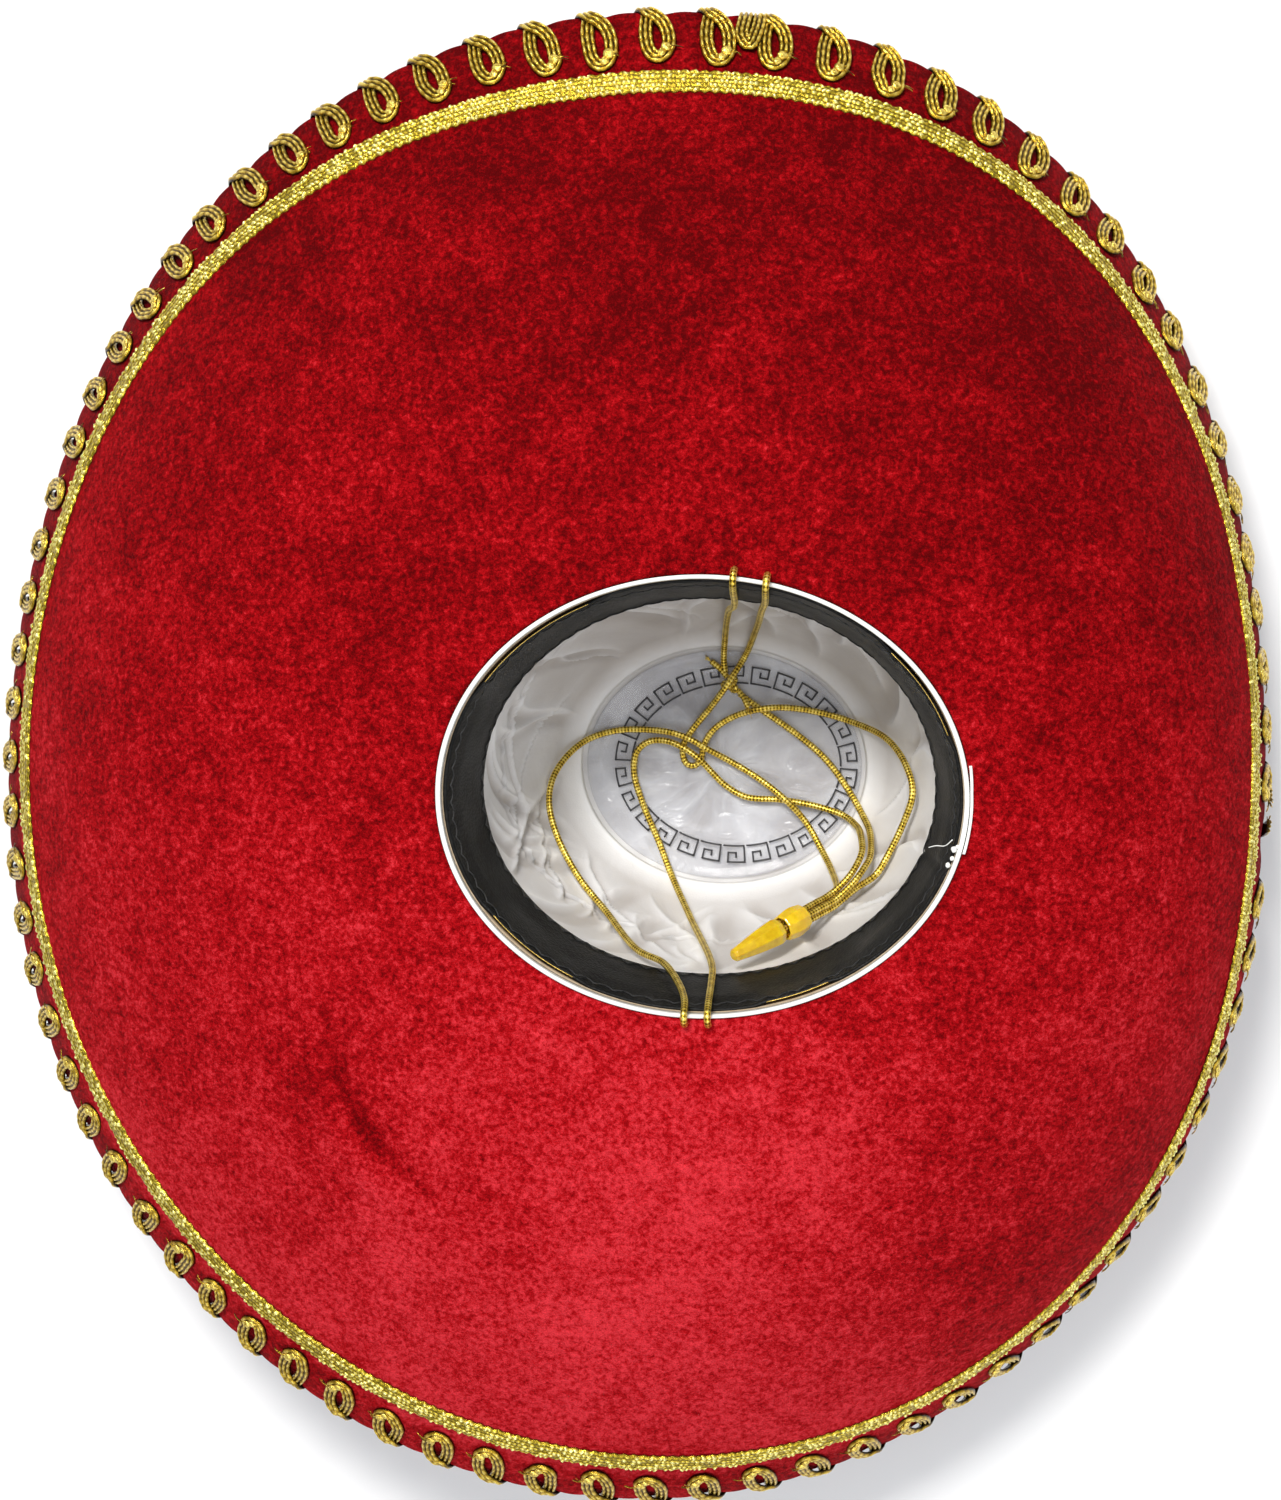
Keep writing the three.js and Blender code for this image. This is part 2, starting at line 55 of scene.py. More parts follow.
# ---- places in the row frame
RIM_HEIGHT = 150.5               # of the opening above the surface the crown rests on
strip_low, strip_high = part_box("head_strip")
SHIFT = np.array([
    500 * (strip_low[0] + strip_high[0]),
    500 * (strip_low[1] + strip_high[1]),
    RIM_HEIGHT,
])


def place(points):
    """Points in millimetres about the opening, as metres in the row frame."""
    return (np.asarray(points, float) + SHIFT) / 1000


def linked(name, data):
    """A new object in the scene."""
    thing = bpy.data.objects.new(name, data)
    bpy.context.scene.collection.objects.link(thing)
    return thing


# ---- camera
EYE = (75.6, 106.5, 950)
LOOKED_AT = (-22.4, 17.5, 0)


def add_camera():
    data = bpy.data.cameras.new("camera")
    data.sensor_width = 36
    data.lens = 61.7
    data.clip_end = 20
    camera = linked("camera", data)
    eye = Vector(place(EYE))
    forward = (Vector(place(LOOKED_AT)) - eye).normalized()
    up = (Vector((0, 1, 0)) - forward * forward.y).normalized()
    right = forward.cross(up)
    turn = Matrix((right, up, -forward)).transposed().to_4x4()
    camera.matrix_world = Matrix.Translation(eye) @ turn
    bpy.context.scene.camera = camera


# ---- node materials
class Nodes:
    """A short way to write a node material."""

    def __init__(self, name):
        self.material = bpy.data.materials.new(name)
        self.material.use_nodes = True
        self.tree = self.material.node_tree
        self.tree.nodes.clear()
        self.shader = self.tree.nodes.new("ShaderNodeBsdfPrincipled")
        output = self.tree.nodes.new("ShaderNodeOutputMaterial")
        self.tree.links.new(self.shader.outputs[0], output.inputs[0])
        self.where = self.tree.nodes.new("ShaderNodeTexCoord").outputs["Object"]

    def link(self, value, socket):
        """Links a socket to the value, or sets it; three numbers are a colour."""
        if isinstance(value, bpy.types.NodeSocket):
            self.tree.links.new(value, socket)
        elif value is not None:
            socket.default_value = (*value, 1) if isinstance(value, tuple) else value

    def set(self, **values):
        for key, value in values.items():
            self.link(value, self.shader.inputs[key.replace("_", " ")])

    def node(self, kind, **values):
        """A node of that kind with those sockets set or linked."""
        node = self.tree.nodes.new(kind)
        for key, value in values.items():
            self.link(value, node.inputs[key])
        return node

    def noise(self, scale, detail=3, roughness=0.5, distortion=0):
        return self.node(
            "ShaderNodeTexNoise", Vector=self.where, Scale=scale, Detail=detail, Roughness=roughness,
            Distortion=distortion,
        ).outputs["Fac"]

    def cells(self, scale):
        return self.node("ShaderNodeTexVoronoi", Vector=self.where, Scale=scale).outputs["Distance"]

    def ramp(self, value, *stops):
        node = self.tree.nodes.new("ShaderNodeValToRGB")
        self.link(value, node.inputs[0])
        elements = node.color_ramp.elements
        while len(elements) < len(stops):
            elements.new(0.5)
        for element, (position, colour) in zip(elements, stops):
            element.position = position
            level = colour if isinstance(colour, tuple) else (colour,) * 3
            element.color = (*level, 1)
        return node.outputs["Color"]

    def sum(self, *terms, offset=0.0):
        """The values, each times its factor, and an offset."""
        total = offset
        for value, factor in terms:
            node = self.tree.nodes.new("ShaderNodeMath")
            node.operation = "MULTIPLY_ADD"
            for index, given in enumerate((value, factor, total)):
                self.link(given, node.inputs[index])
            total = node.outputs[0]
        return total

    def multiply(self, factor, a, b):
        node = self.tree.nodes.new("ShaderNodeMix")
        node.data_type = "RGBA"
        node.blend_type = "MULTIPLY"
        for index, value in ((0, factor), (6, a), (7, b)):
            self.link(value, node.inputs[index])
        return node.outputs[2]

    def attribute(self, name):
        node = self.tree.nodes.new("ShaderNodeAttribute")
        node.attribute_name = name
        return node.outputs["Fac"]

    def bump(self, height, distance, strength=1.0, normal=None):
        return self.node(
            "ShaderNodeBump", Height=height, Distance=distance, Strength=strength, Normal=normal,
        ).outputs["Normal"]


def velvet_material():
    """Crushed pile, with painted light and shade from the mesh: lighter where light falls on the brim, darker
    beyond the braid and in the crease; speckle and the pinkish top stop are partly painted sheen, over the
    random crush tone.
    """
    n = Nodes("crimson_velvet")
    painted_shading = n.attribute("painted_shading")
    crush = n.noise(95, 5, 0.68, 0.6)
    broad = n.noise(16, 4, 0.6, 0.3)
    speckle = n.noise(430, 4, 0.8, 0.3)
    pile = n.noise(1700, 2, 0.6)
    # the mesh's field is painted light and shade; speckle adds painted sheen glints to the random crush tone
    shade = n.sum((crush, 0.34), (broad, 0.30), (speckle, 1.05), (painted_shading, 0.34), offset=-0.35)
    # the top, pinkish stop is painted sheen
    colour = n.ramp(
        shade,
        (0.42, (0.080, 0.0003, 0.0010)), (0.56, (0.190, 0.0006, 0.0020)),
        (0.70, (0.370, 0.0030, 0.0060)), (0.90, (0.640, 0.0300, 0.0420)),
    )
    colour = n.multiply(0.6, colour, n.ramp(pile, (0.3, 0.45), (0.55, 0.9), (0.75, 1.4)))
    normal = n.bump(crush, 0.003, 0.3)
    normal = n.bump(speckle, 0.0010, 0.5, normal)
    normal = n.bump(pile, 0.0005, 0.6, normal)
    n.set(Base_Color=colour, Roughness=0.8, Normal=normal, Specular_IOR_Level=0.03)
    n.set(Sheen_Weight=0.12, Sheen_Roughness=0.35, Sheen_Tint=(1.0, 0.10, 0.13))
    return n.material


def gold_material(name, dark, body, light, levels, roughness=0.22):
    """Metallic yarn: relief on the mesh says how far a thread stands out; the colour has painted shade where it
    is low, between the threads, and a painted highlight where it stands out.
    """
    n = Nodes(name)
    grain = n.noise(2600, 2, 0.6)
    level = n.sum((n.attribute("relief"), 0.72), (grain, 0.36))
    colour = n.ramp(level, *zip(levels, (dark, body, light)))
    n.set(Base_Color=colour, Metallic=0.82, Roughness=roughness, Normal=n.bump(grain, 0.0004, 0.55))
    return n.material


def plastic_material(name, low, high, roughness, coat, **more):
    n = Nodes(name)
    n.set(Base_Color=n.ramp(n.noise(300), (0.35, low), (0.65, high)), Roughness=roughness, Coat_Weight=coat)
    n.set(Normal=n.bump(n.noise(1200, 2), 0.0002, 0.4), **more)
    return n.material


def vinyl_material():
    n = Nodes("black_vinyl")
    grain = n.cells(900)
    broad = n.noise(45, 3)
    level = n.ramp(broad, (0.3, 0.40), (0.7, 0.56))
    n.set(Base_Color=n.ramp(grain, (0.1, (0.010, 0.010, 0.009)), (0.7, (0.003, 0.003, 0.003))))
    n.set(Roughness=level, Normal=n.bump(broad, 0.002, 0.3, n.bump(grain, 0.0003, 0.5)))
    n.set(Specular_IOR_Level=0.2)
    return n.material


def lining_material():
    """Thin satin, with painted shade: darker in the folds' valleys, where it hangs off the board, and on the
    wall towards the wearer's left.
    """
    n = Nodes("lining_cloth")
    weave = n.noise(1400, 2, 0.7)
    cloud = n.noise(22, 4, 0.55, 0.6)
    free = n.attribute("relief")
    level = n.sum((free, 0.75), (cloud, 0.35))
    # from white to a warm grey-brown of painted shade
    colour = n.ramp(
        level,
        (0.16, (0.90, 0.90, 0.90)), (0.36, (0.74, 0.73, 0.73)), (0.62, (0.50, 0.47, 0.45)),
        (0.90, (0.32, 0.28, 0.25)),
    )
    n.set(Base_Color=colour, Roughness=0.42, Specular_IOR_Level=0.45)
    n.set(Normal=n.bump(cloud, 0.004, 0.4, n.bump(weave, 0.0002, 0.5)))
    n.set(Sheen_Weight=0.3, Sheen_Roughness=0.4)
    return n.material


def clear_material():
    n = Nodes("clear_plastic")
    ripple = n.noise(55, 4, 0.55, 1.2)
    n.set(Base_Color=n.ramp(ripple, (0.3, (0.60, 0.63, 0.72)), (0.7, (0.82, 0.84, 0.92))), Alpha=0.22)
    n.set(Roughness=0.12, Coat_Weight=0.8, Normal=n.bump(ripple, 0.006, 0.8))
    return n.material


def plain_material(name, low, high, roughness=0.6, scale=400, metallic=0.0):
    n = Nodes(name)
    grain = n.noise(scale, 4, 0.6)
    n.set(Base_Color=n.ramp(grain, (0.3, low), (0.7, high)), Roughness=roughness, Metallic=metallic)
    n.set(Normal=n.bump(grain, 0.0004, 0.5))
    return n.material


VELVET = velvet_material()
# For each gold: the colour of painted shade between the threads, the body colour, the colour of painted
# highlight on the raised threads, and their places on the relief.
GOLD_RING = gold_material(
    "gold_braid_ring", (0.10, 0.06, 0.003), (0.66, 0.48, 0.03), (1.0, 0.93, 0.36), (0.24, 0.50, 0.95),
)
GOLD_LOOP = gold_material(
    "gold_braid_loop", (0.022, 0.012, 0.001), (0.46, 0.28, 0.014), (1.0, 0.78, 0.18), (0.34, 0.58, 0.90),
)
GOLD_CORD = gold_material(
    "gold_cord", (0.050, 0.025, 0.003), (0.80, 0.53, 0.035), (1.0, 0.88, 0.30), (0.34, 0.52, 0.84), 0.28,
)
GOLD_THREAD = plain_material("gold_thread", (0.45, 0.26, 0.03), (0.95, 0.70, 0.2), 0.35, 1500, 0.8)
WHITE = plastic_material("white_strip", (0.76, 0.76, 0.72), (0.86, 0.86, 0.83), 0.38, 0.15)
VINYL = vinyl_material()
LINING = lining_material()
CLEAR = clear_material()
INK = plain_material("printed_ink", (0.03, 0.03, 0.034), (0.06, 0.06, 0.066), 0.5)
GLOW = {"Subsurface_Weight": 0.25, "Subsurface_Scale": 0.003}
BEAD = plastic_material("yellow_bead", (0.74, 0.46, 0.006), (0.86, 0.58, 0.015), 0.22, 0.6, **GLOW)
AMBER = plastic_material("amber_end", (0.66, 0.40, 0.004), (0.78, 0.54, 0.010), 0.2, 0.7, **GLOW)
BOARD = plain_material("stiffened_board", (0.36, 0.27, 0.17), (0.52, 0.41, 0.28), 0.9, 300)
STEEL = plain_material("steel_wire", (0.32, 0.33, 0.35), (0.5, 0.5, 0.52), 0.35, 900, 1.0)
BLACK_THREAD = plain_material("black_thread", (0.008, 0.008, 0.008), (0.03, 0.03, 0.03), 0.6, 1500)
GLUE = plain_material("dry_glue", (0.8, 0.8, 0.76), (0.9, 0.9, 0.86), 0.25, 500)


# ---- meshes
# Patches of painted light and shade on the brim: centre, size and how much lighter.
PAINTED_SHADING_PATCHES = (
    (-20, -150, 95, 0.26), (-150, -40, 80, -0.08), (120, -190, 60, -0.24), (150, 60, 80, -0.06),
    (-60, 215, 70, -0.10), (90, 190, 70, -0.06), (-105, 75, 45, -0.10), (-215, 90, 60, -0.04),
    (150, -50, 60, 0.12), (-140, -95, 26, -0.16), (-128, -128, 20, -0.20),
)

# The long crease in the pile: its bearings, and how far out it lies along the brim at each.
CREASE = ((205, 210, 217.5, 223.6, 229, 235.2, 240), (64, 71, 85, 94, 98.5, 100.5, 101))


def painted_shading_of(points):
    """Painted light and shade on the velvet, 0 to 1: lighter towards the wearer's right, darker beyond the
    braid and along the crease.
    """
    x, y = points[:, 0], points[:, 1]
    # painted light: lighter towards the wearer's right and a little towards the front
    lean = 0.40 - 0.0016 * y - 0.0004 * x
    theta = np.arctan2(y / SEMI_Y, x / SEMI_X)
    # painted shade from the braid out to the velvet's edge, among the loops
    outside = np.hypot(x, y) - np.hypot(*brim(theta, velvet_edge(theta) - 24, 0)[:, :2].T)
    lean = lean - 0.42 * np.clip(outside / 6, 0, 1)
    # painted shade along the long crease, deepest near its middle
    bearing = np.linspace(209, 236, 28)
    line = brim(np.radians(bearing), np.interp(bearing, *CREASE), 0)
    dark = 0.12 + 0.40 * np.clip(1 - np.abs(bearing - 226) / 12, 0, 1)
    away = np.hypot(x[:, None] - line[:, 0], y[:, None] - line[:, 1])
    lean = lean - (dark * np.exp(-(away / 4.0) ** 2)).max(1)
    # patches of painted light and shade
    for centre_x, centre_y, spread, strength in PAINTED_SHADING_PATCHES:
        lean = lean + strength * np.exp(-((x - centre_x) ** 2 + (y - centre_y) ** 2) / spread ** 2)
    return np.clip(lean, 0, 1)


def unit(vectors):
    return vectors / np.linalg.norm(vectors, axis=-1, keepdims=True)


def lengths_along(points):
    """The distance along the points up to each of them."""
    return np.concatenate([[0], np.cumsum(np.linalg.norm(np.diff(points, axis=0), axis=1))])


def bearings(count):
    return TAU * np.arange(count) / count


def add_mesh(name, points, faces, material, relief=None, smooth=True):
    mesh = bpy.data.meshes.new(name)
    mesh.from_pydata(place(points).tolist(), [], [list(face) for face in faces])
    mesh.materials.append(material)
    fields = {"relief": relief}
    if material is VELVET:
        fields["painted_shading"] = painted_shading_of(np.asarray(points, float))
    for field, values in fields.items():
        if values is not None:
            layer = mesh.attributes.new(field, "FLOAT", "POINT")
            layer.data.foreach_set("value", np.asarray(values, np.float32).ravel())
    mesh.polygons.foreach_set("use_smooth", [smooth] * len(mesh.polygons))
    mesh.update()
    return linked(name, mesh)


def grid_faces(rows, columns, close_rows=False, close_columns=False):
    """Quads of a rows by columns grid of points, stored row by row."""
    r = np.arange(rows if close_rows else rows - 1)
    c = np.arange(columns if close_columns else columns - 1)
    r, c = (axis.ravel() for axis in np.meshgrid(r, c, indexing="ij"))
    r2, c2 = (r + 1) % rows, (c + 1) % columns
    return np.stack([r * columns + c, r * columns + c2, r2 * columns + c2, r2 * columns + c], 1).tolist()


def rod(points, relief=None):
    """Points, faces and relief of a closed rod: points[i, k] is the k-th corner of its i-th section."""
    rows, columns = points.shape[:2]
    faces = grid_faces(rows, columns, False, True)
    faces.append(list(range(columns))[::-1])
    faces.append([(rows - 1) * columns + k for k in range(columns)])
    return points.reshape(-1, 3), faces, np.zeros(rows * columns) if relief is None else relief.ravel()


def ring(name, points, material, relief=None, smooth=True):
    """points[k, i]: the k-th point of a closed outline at the i-th bearing."""
    faces = grid_faces(*points.shape[:2], True, True)
    return add_mesh(name, points.reshape(-1, 3), faces, material, relief, smooth)


def dish(name, points, material, relief=None, smooth=True):
    """As ring, but the first and the last outline point close to a point on the axis."""
    rows, columns = points.shape[:2]
    faces = grid_faces(rows, columns, False, True)
    first, last = rows * columns, rows * columns + 1
    for i in range(columns):
        j = (i + 1) % columns
        faces.append([first, j, i])
        faces.append([last, (rows - 1) * columns + i, (rows - 1) * columns + j])
    everything = np.concatenate([points.reshape(-1, 3), [points[0].mean(0), points[-1].mean(0)]])
    if relief is not None:
        relief = np.concatenate([np.ravel(relief), [0, 0]])
    return add_mesh(name, everything, faces, material, relief, smooth)


def finished(thing, body, slot, *nodes):
    """Makes every face point outwards, hides the model's parts that the piece stands for, and hangs it on what
    it rides on.
    """
    work = bmesh.new()
    work.from_mesh(thing.data)
    bmesh.ops.recalc_face_normals(work, faces=work.faces)
    work.to_mesh(thing.data)
    work.free()
    if nodes:
        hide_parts(*nodes)
    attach(thing, body)
    return thing


# ---- smooth random fields
def shares(values, columns):
    """u round the rows and v along the columns of a grid whose rows have those values of v."""
    shape = (len(values), columns)
    return np.broadcast_to(bearings(columns) / TAU, shape), np.broadcast_to(values[:, None], shape)


def lattice(u, v, across_u, across_v):
    """Smooth noise from 0 to 1 on u, v in 0..1, with that many cells; u wraps round."""
    table = rng.random((across_u, across_v + 1))
    x, y = u * across_u, np.clip(v, 0, 0.9999) * across_v
    i, j = np.floor(x).astype(int), np.floor(y).astype(int)
    fx, fy = x - i, y - j
    fx, fy = fx * fx * (3 - 2 * fx), fy * fy * (3 - 2 * fy)
    i0, i1 = i % across_u, (i + 1) % across_u
    low = table[i0, j] * (1 - fx) + table[i1, j] * fx
    high = table[i0, j + 1] * (1 - fx) + table[i1, j + 1] * fx
    return low * (1 - fy) + high * fy


# ---- the brim's surface
SEMI_X, SEMI_Y = 100.0, 83.3     # of the opening's oval, over the white strip
MEAN_RADIUS = (SEMI_X + SEMI_Y) / 2
BRIM_REACH = (163, 202, 213, 231, 238, 231, 237, 211)       # at eight bearings from the back
BRIM_CURL = (75, 60, 20, 37, 53, 35, 40, 67)                # degrees of slope at the edge
LIP_CURL = 14                    # more slope close to the edge, in degrees
EDGE_BEYOND_BOARD = 3.7
COVERED = 2.5                    # from the board's middle to the velvet's face


def round_the_brim(values, theta):
    """A smooth curve through eight values, one at each eighth of a turn."""
    total = np.zeros_like(np.asarray(theta, float))
    for index, value in enumerate(values):
        turn = theta - TAU * index / 8
        weight = 1 + np.cos(4 * turn) + 2 * (np.cos(turn) + np.cos(2 * turn) + np.cos(3 * turn))
        total = total + value * weight / 8
    return total


def brim(theta, along, lift):
    """A brim point: bearing, distance from the opening along the board, height over its middle."""
    theta, along, lift = np.broadcast_arrays(*(np.asarray(x, float) for x in (theta, along, lift)))
    reach = round_the_brim(BRIM_REACH, theta)
    curl = round_the_brim(BRIM_CURL, theta)
    curved = np.minimum(along, reach)
    outward, height, steps = 0, 0, 24
    for step in range(steps):
        share = curved * (step + 0.5) / steps / reach
        slope = np.radians(curl * share + LIP_CURL * share ** 8)
        outward = outward + np.cos(slope) * curved / steps
        height = height - np.sin(slope) * curved / steps
    share = curved / reach
    slope = np.radians(curl * share + LIP_CURL * share ** 8)
    outward = outward + np.cos(slope) * (along - curved) + np.sin(slope) * lift
    height = height + np.cos(slope) * lift - np.sin(slope) * (along - curved)
    normal = unit(np.stack([SEMI_Y * np.cos(theta), SEMI_X * np.sin(theta)], -1))
    x = SEMI_X * np.cos(theta) + normal[..., 0] * outward
    y = SEMI_Y * np.sin(theta) + normal[..., 1] * outward
    return np.stack([x, y, height], -1)


def velvet_edge(theta):
    return round_the_brim(BRIM_REACH, theta) + EDGE_BEYOND_BOARD


# The edge measured by length, so that the loops are evenly spaced.
edge_thetas = np.linspace(0, TAU, 1441)
edge_line = brim(edge_thetas, velvet_edge(edge_thetas), 0)
edge_lengths = lengths_along(edge_line)
EDGE_LENGTH = edge_lengths[-1]


def edge_theta(length):
    turns = np.floor_divide(length, EDGE_LENGTH)
    return np.interp(length - turns * EDGE_LENGTH, edge_lengths, edge_thetas) + TAU * turns


def round_the_edge(length, inward, height):
    """A point over the velvet near the edge: distance round the edge, distance in from it on the shown
    side (negative: over the edge and along the other side), and height over the velvet."""
    theta = edge_theta(length)
    middle = velvet_edge(theta) - COVERED
    quarter = np.clip(-inward / COVERED, 0, math.pi)
    radius = COVERED + height
    over = np.clip(-inward - math.pi * COVERED, 0, None)
    along = middle - np.clip(inward, 0, None) + radius * np.sin(quarter) - over
    lift = radius * np.cos(quarter)
    return brim(theta, along, lift)


# ---- cords
CORD_DIAMETER = 2.9
STRAND_OFFSET = 2.45             # of each strand from the bundle's axis
BUNDLE_END = np.array([36, -55, -67.0])
CORD_TIP = np.array([9.5, -67, -40.5])
BUNDLE_WAY = unit(BUNDLE_END - CORD_TIP)
STRAIGHT_STOPS = (16.5, 8, 0, -21)      # along the bundle from the bead's end; below 0, inside
HOLE_SETBACK = 2.2               # of the holes from the opening
LEFT_HOLES = ((12.4, 1), (24.4, 1))     # place along X, and side of the head
RIGHT_HOLES = ((-5.4, -1), (3.3, -1))
STITCH_BOTTOM = -5.2
# Distance outwards from the route's end and height, as a cord goes over the strip to its hole.
OVER_THE_STRIP = ((5.6, 6.6), (4.35, 7.5), (2.8, 7.5), (1.25, 6.2), (0.25, 4), (0, 1.5), (0, -2.7))

LEFT_FRONT = [
    (12.2, 78.6, 4.9), (12.1, 76.6, 1), (11.5, 73, -16), (10, 70, -34), (5, 66, -76.5), (1, 53.5, -115),
    (0, 43.5, -123), (0.5, 38.9, -123.5),
]
LEFT_BACK = [
    (24.2, 76.7, 4.9), (24, 74.8, 1), (23, 72, -15), (21, 69, -33), (14.5, 57.5, -101.5), (9, 46, -121.5),
    (5.5, 40, -119), (2, 34.5, -117.5), (-1.5, 29.5, -119.5), (-6.5, 23, -123.5), (-13, 15, -124),
    (-16.7, 9, -124), (-17.2, 3.6, -124), (-15.6, 0.2, -124), (-12.2, -0.6, -124), (-9.6, 2.4, -124.1),
    (-8.5, 8, -124), (-4.5, 14.5, -124), (2.5, 19.5, -124), (10, 22.5, -122), (16.5, 24, -120),
    (24, 24.5, -121.5), (34, 23.5, -123.3), (44, 21.5, -122.8), (53, 19, -120.3), (68, 13.5, -104),
    (76.5, 3.5, -87.5), (79, -6.5, -80), (75.5, -18.5, -81.5), (69.5, -31.5, -82), (64.5, -39.5, -79),
    (56, -46, -83),
]
TAIL = [
    (6.5, 30.1, -124), (10.5, 27, -124), (17, 22.5, -124), (31.5, 12.5, -124), (43, 2.5, -124),
    (52.5, -10, -122), (59, -20.5, -115), (61.5, -25, -107.5), (62, -34, -92.5), (59.5, -38, -85),
    (55.5, -43, -80),
]
RIGHT_BACK = [
    (3.3, -79.2, 4.9), (3.3, -77.2, 1), (3, -73.5, -16), (2, -69.5, -34), (-11.5, -60.5, -95),
    (-21.5, -46.5, -119), (-27.5, -32.5, -123.5), (-34.5, -16, -124), (-38, -3, -124), (-36.5, 5.5, -124),
    (-31.5, 9.5, -124), (-24.5, 10, -122.5), (-18, 8, -120.5), (-11, 3.5, -120.5), (-5.5, -2.5, -123),
    (0.5, -8.5, -124), (9.5, -13.5, -124), (24, -14.5, -124), (39, -17, -123.5), (50.5, -20.5, -121.3),
    (56, -24, -114.6), (58.3, -27.5, -99.5), (58.7, -32, -91.5), (56.3, -37.3, -86), (52.8, -42, -82),
]
RIGHT_FRONT = [
    (-5.4, -79.1, 4.9), (-5.6, -77.2, 1), (-9, -73.5, -14), (-17, -68.5, -33), (-28.5, -66, -47),
    (-44.5, -55.5, -76.5), (-57.5, -42.5, -87.5), (-66.5, -27.5, -93.5), (-70.5, -15, -98),
    (-70, -5, -104), (-65, 4, -112.5), (-57, 10.5, -120.5), (-45.5, 14, -123.5), (-32, 14.5, -123.5),
    (-21.5, 13.5, -121), (-14, 11, -120), (-7, 7, -120.5), (2, 2, -123), (14, -5, -122.5),
    (25.5, -13.5, -120), (34.5, -23.5, -122.5), (41.5, -35, -119), (46, -42, -108), (48.5, -48, -83),
]

to_wall = np.array([-BUNDLE_END[0] / SEMI_X ** 2, -BUNDLE_END[1] / SEMI_Y ** 2, 0])
INWARD = unit(to_wall - BUNDLE_WAY * (to_wall @ BUNDLE_WAY))
UPWARD = np.cross(BUNDLE_WAY, INWARD)


def strand_end(direction):
    """The straight stretch of a strand that lies on that side of the bundle's axis."""
    return [BUNDLE_END + BUNDLE_WAY * stop + direction * STRAND_OFFSET for stop in STRAIGHT_STOPS]


def hole_place(hole):
    x, side = hole
    return brim(side * math.acos(x / SEMI_X), HOLE_SETBACK, 0)


def over_the_strip(route, hole):
    end, following = np.array(route[0], float), np.array(route[1], float)
    foot = hole_place(hole)
    side = math.copysign(1, foot[1])
    away = unit(end - following)
    arc = []
    for set_back, height in OVER_THE_STRIP:
        share = set_back / abs(foot[1] - end[1])
        arc.append((foot[0] + (end[0] - foot[0]) * share, foot[1] - side * set_back, height))
    return [end + away * 0.4, *arc]


def stitch(front, back, holes):
    """From the front route's end, down one hole, under the brim, and up the other to the back route."""
    down, up = (hole_place(hole) for hole in holes)
    between = unit((up - down) * (1, 1, 0))

    def below(foot, along, height):
        return (*(foot + between * along)[:2], height)

    return [
        *over_the_strip(front, holes[0]),
        below(down, 1.2, -4.6), below(down, 3.4, STITCH_BOTTOM),
        below(up, -3.4, STITCH_BOTTOM), below(up, -1.2, -4.6),
        *reversed(over_the_strip(back, holes[1])),
    ]


def smooth_route(route, spacing=0.35):
    """The same centripetal curve that the solids follow, as evenly spaced points."""
    points = [np.array(p, float) for p in route]
    last = len(points) - 1
    fine = []
    for i in range(last):
        p1, p2 = points[i], points[i + 1]
        p0 = points[i - 1] if i else 2 * p1 - p2
        p3 = points[i + 2] if i + 2 <= last else 2 * p2 - p1
        d0, d1, d2 = (np.linalg.norm(b - a) ** 0.5 for a, b in ((p0, p1), (p1, p2), (p2, p3)))
        t1 = ((p1 - p0) / d0 - (p2 - p0) / (d0 + d1) + (p2 - p1) / d1) * d1
        t2 = ((p2 - p1) / d1 - (p3 - p1) / (d1 + d2) + (p3 - p2) / d2) * d1
        w = np.linspace(0, 1, 60, endpoint=i == last - 1)[:, None]
        fine.append(
            p1 + t1 * w + (-3 * p1 + 3 * p2 - 2 * t1 - t2) * w ** 2 + (2 * p1 - 2 * p2 + t1 + t2) * w ** 3
        )
    fine = np.concatenate(fine)
    lengths = lengths_along(fine)
    stops = np.linspace(0, lengths[-1], max(8, int(lengths[-1] / spacing)))
    return np.stack([np.interp(stops, lengths, fine[:, k]) for k in range(3)], 1)


def frames_along(path):
    """Two directions across the path at each point, turning as little as possible."""
    tangent = unit(np.gradient(path, axis=0))
    side = unit(np.cross(tangent[0], (0.3, 0.2, 0.9)))
    sides = []
    for t in tangent:
        side = unit(side - t * (side @ t))
        sides.append(side)
    return np.array(sides), np.cross(tangent, sides)


def braided_tube(path, radius, corners=16, pitch=2.9, strands=3, depth=0.15):
    """Points, faces and relief of a tube with a plaited surface."""
    side, up = frames_along(path)
    s = lengths_along(path)[:, None]
    angle = bearings(corners)[None, :]
    one = np.cos(strands * angle + TAU * s / pitch)
    two = np.cos(strands * angle - TAU * s / pitch)
    # where a gold material reads it, relief also sets painted shade in the gaps and painted highlight on the
    # strands
    relief = 0.5 + 0.5 * one * two
    wobble = 0.5 + 0.5 * np.sin(s * 0.83 + 2.0 * np.sin(s * 0.21))
    relief = np.clip(relief * (0.8 + 0.35 * wobble), 0, 1)
    r = (radius * (1 - depth + depth * relief))[..., None]
    across = np.cos(angle)[..., None] * side[:, None] + np.sin(angle)[..., None] * up[:, None]
    return rod(path[:, None] + r * across, relief)


def add_parts(name, parts, material):
    """Several (points, faces, relief) as one mesh."""
    points, faces, relief, start = [], [], [], 0
    for p, f, r in parts:
        points.append(p)
        faces.extend([[start + k for k in face] for face in f])
        relief.append(r)
        start += len(p)
    return add_mesh(name, np.concatenate(points), faces, material, np.concatenate(relief))


def hair(path, radius=0.22, corners=5, depth=0.15):
    """A single thread."""
    return braided_tube(path, radius, corners, pitch=1.0, strands=1, depth=depth)


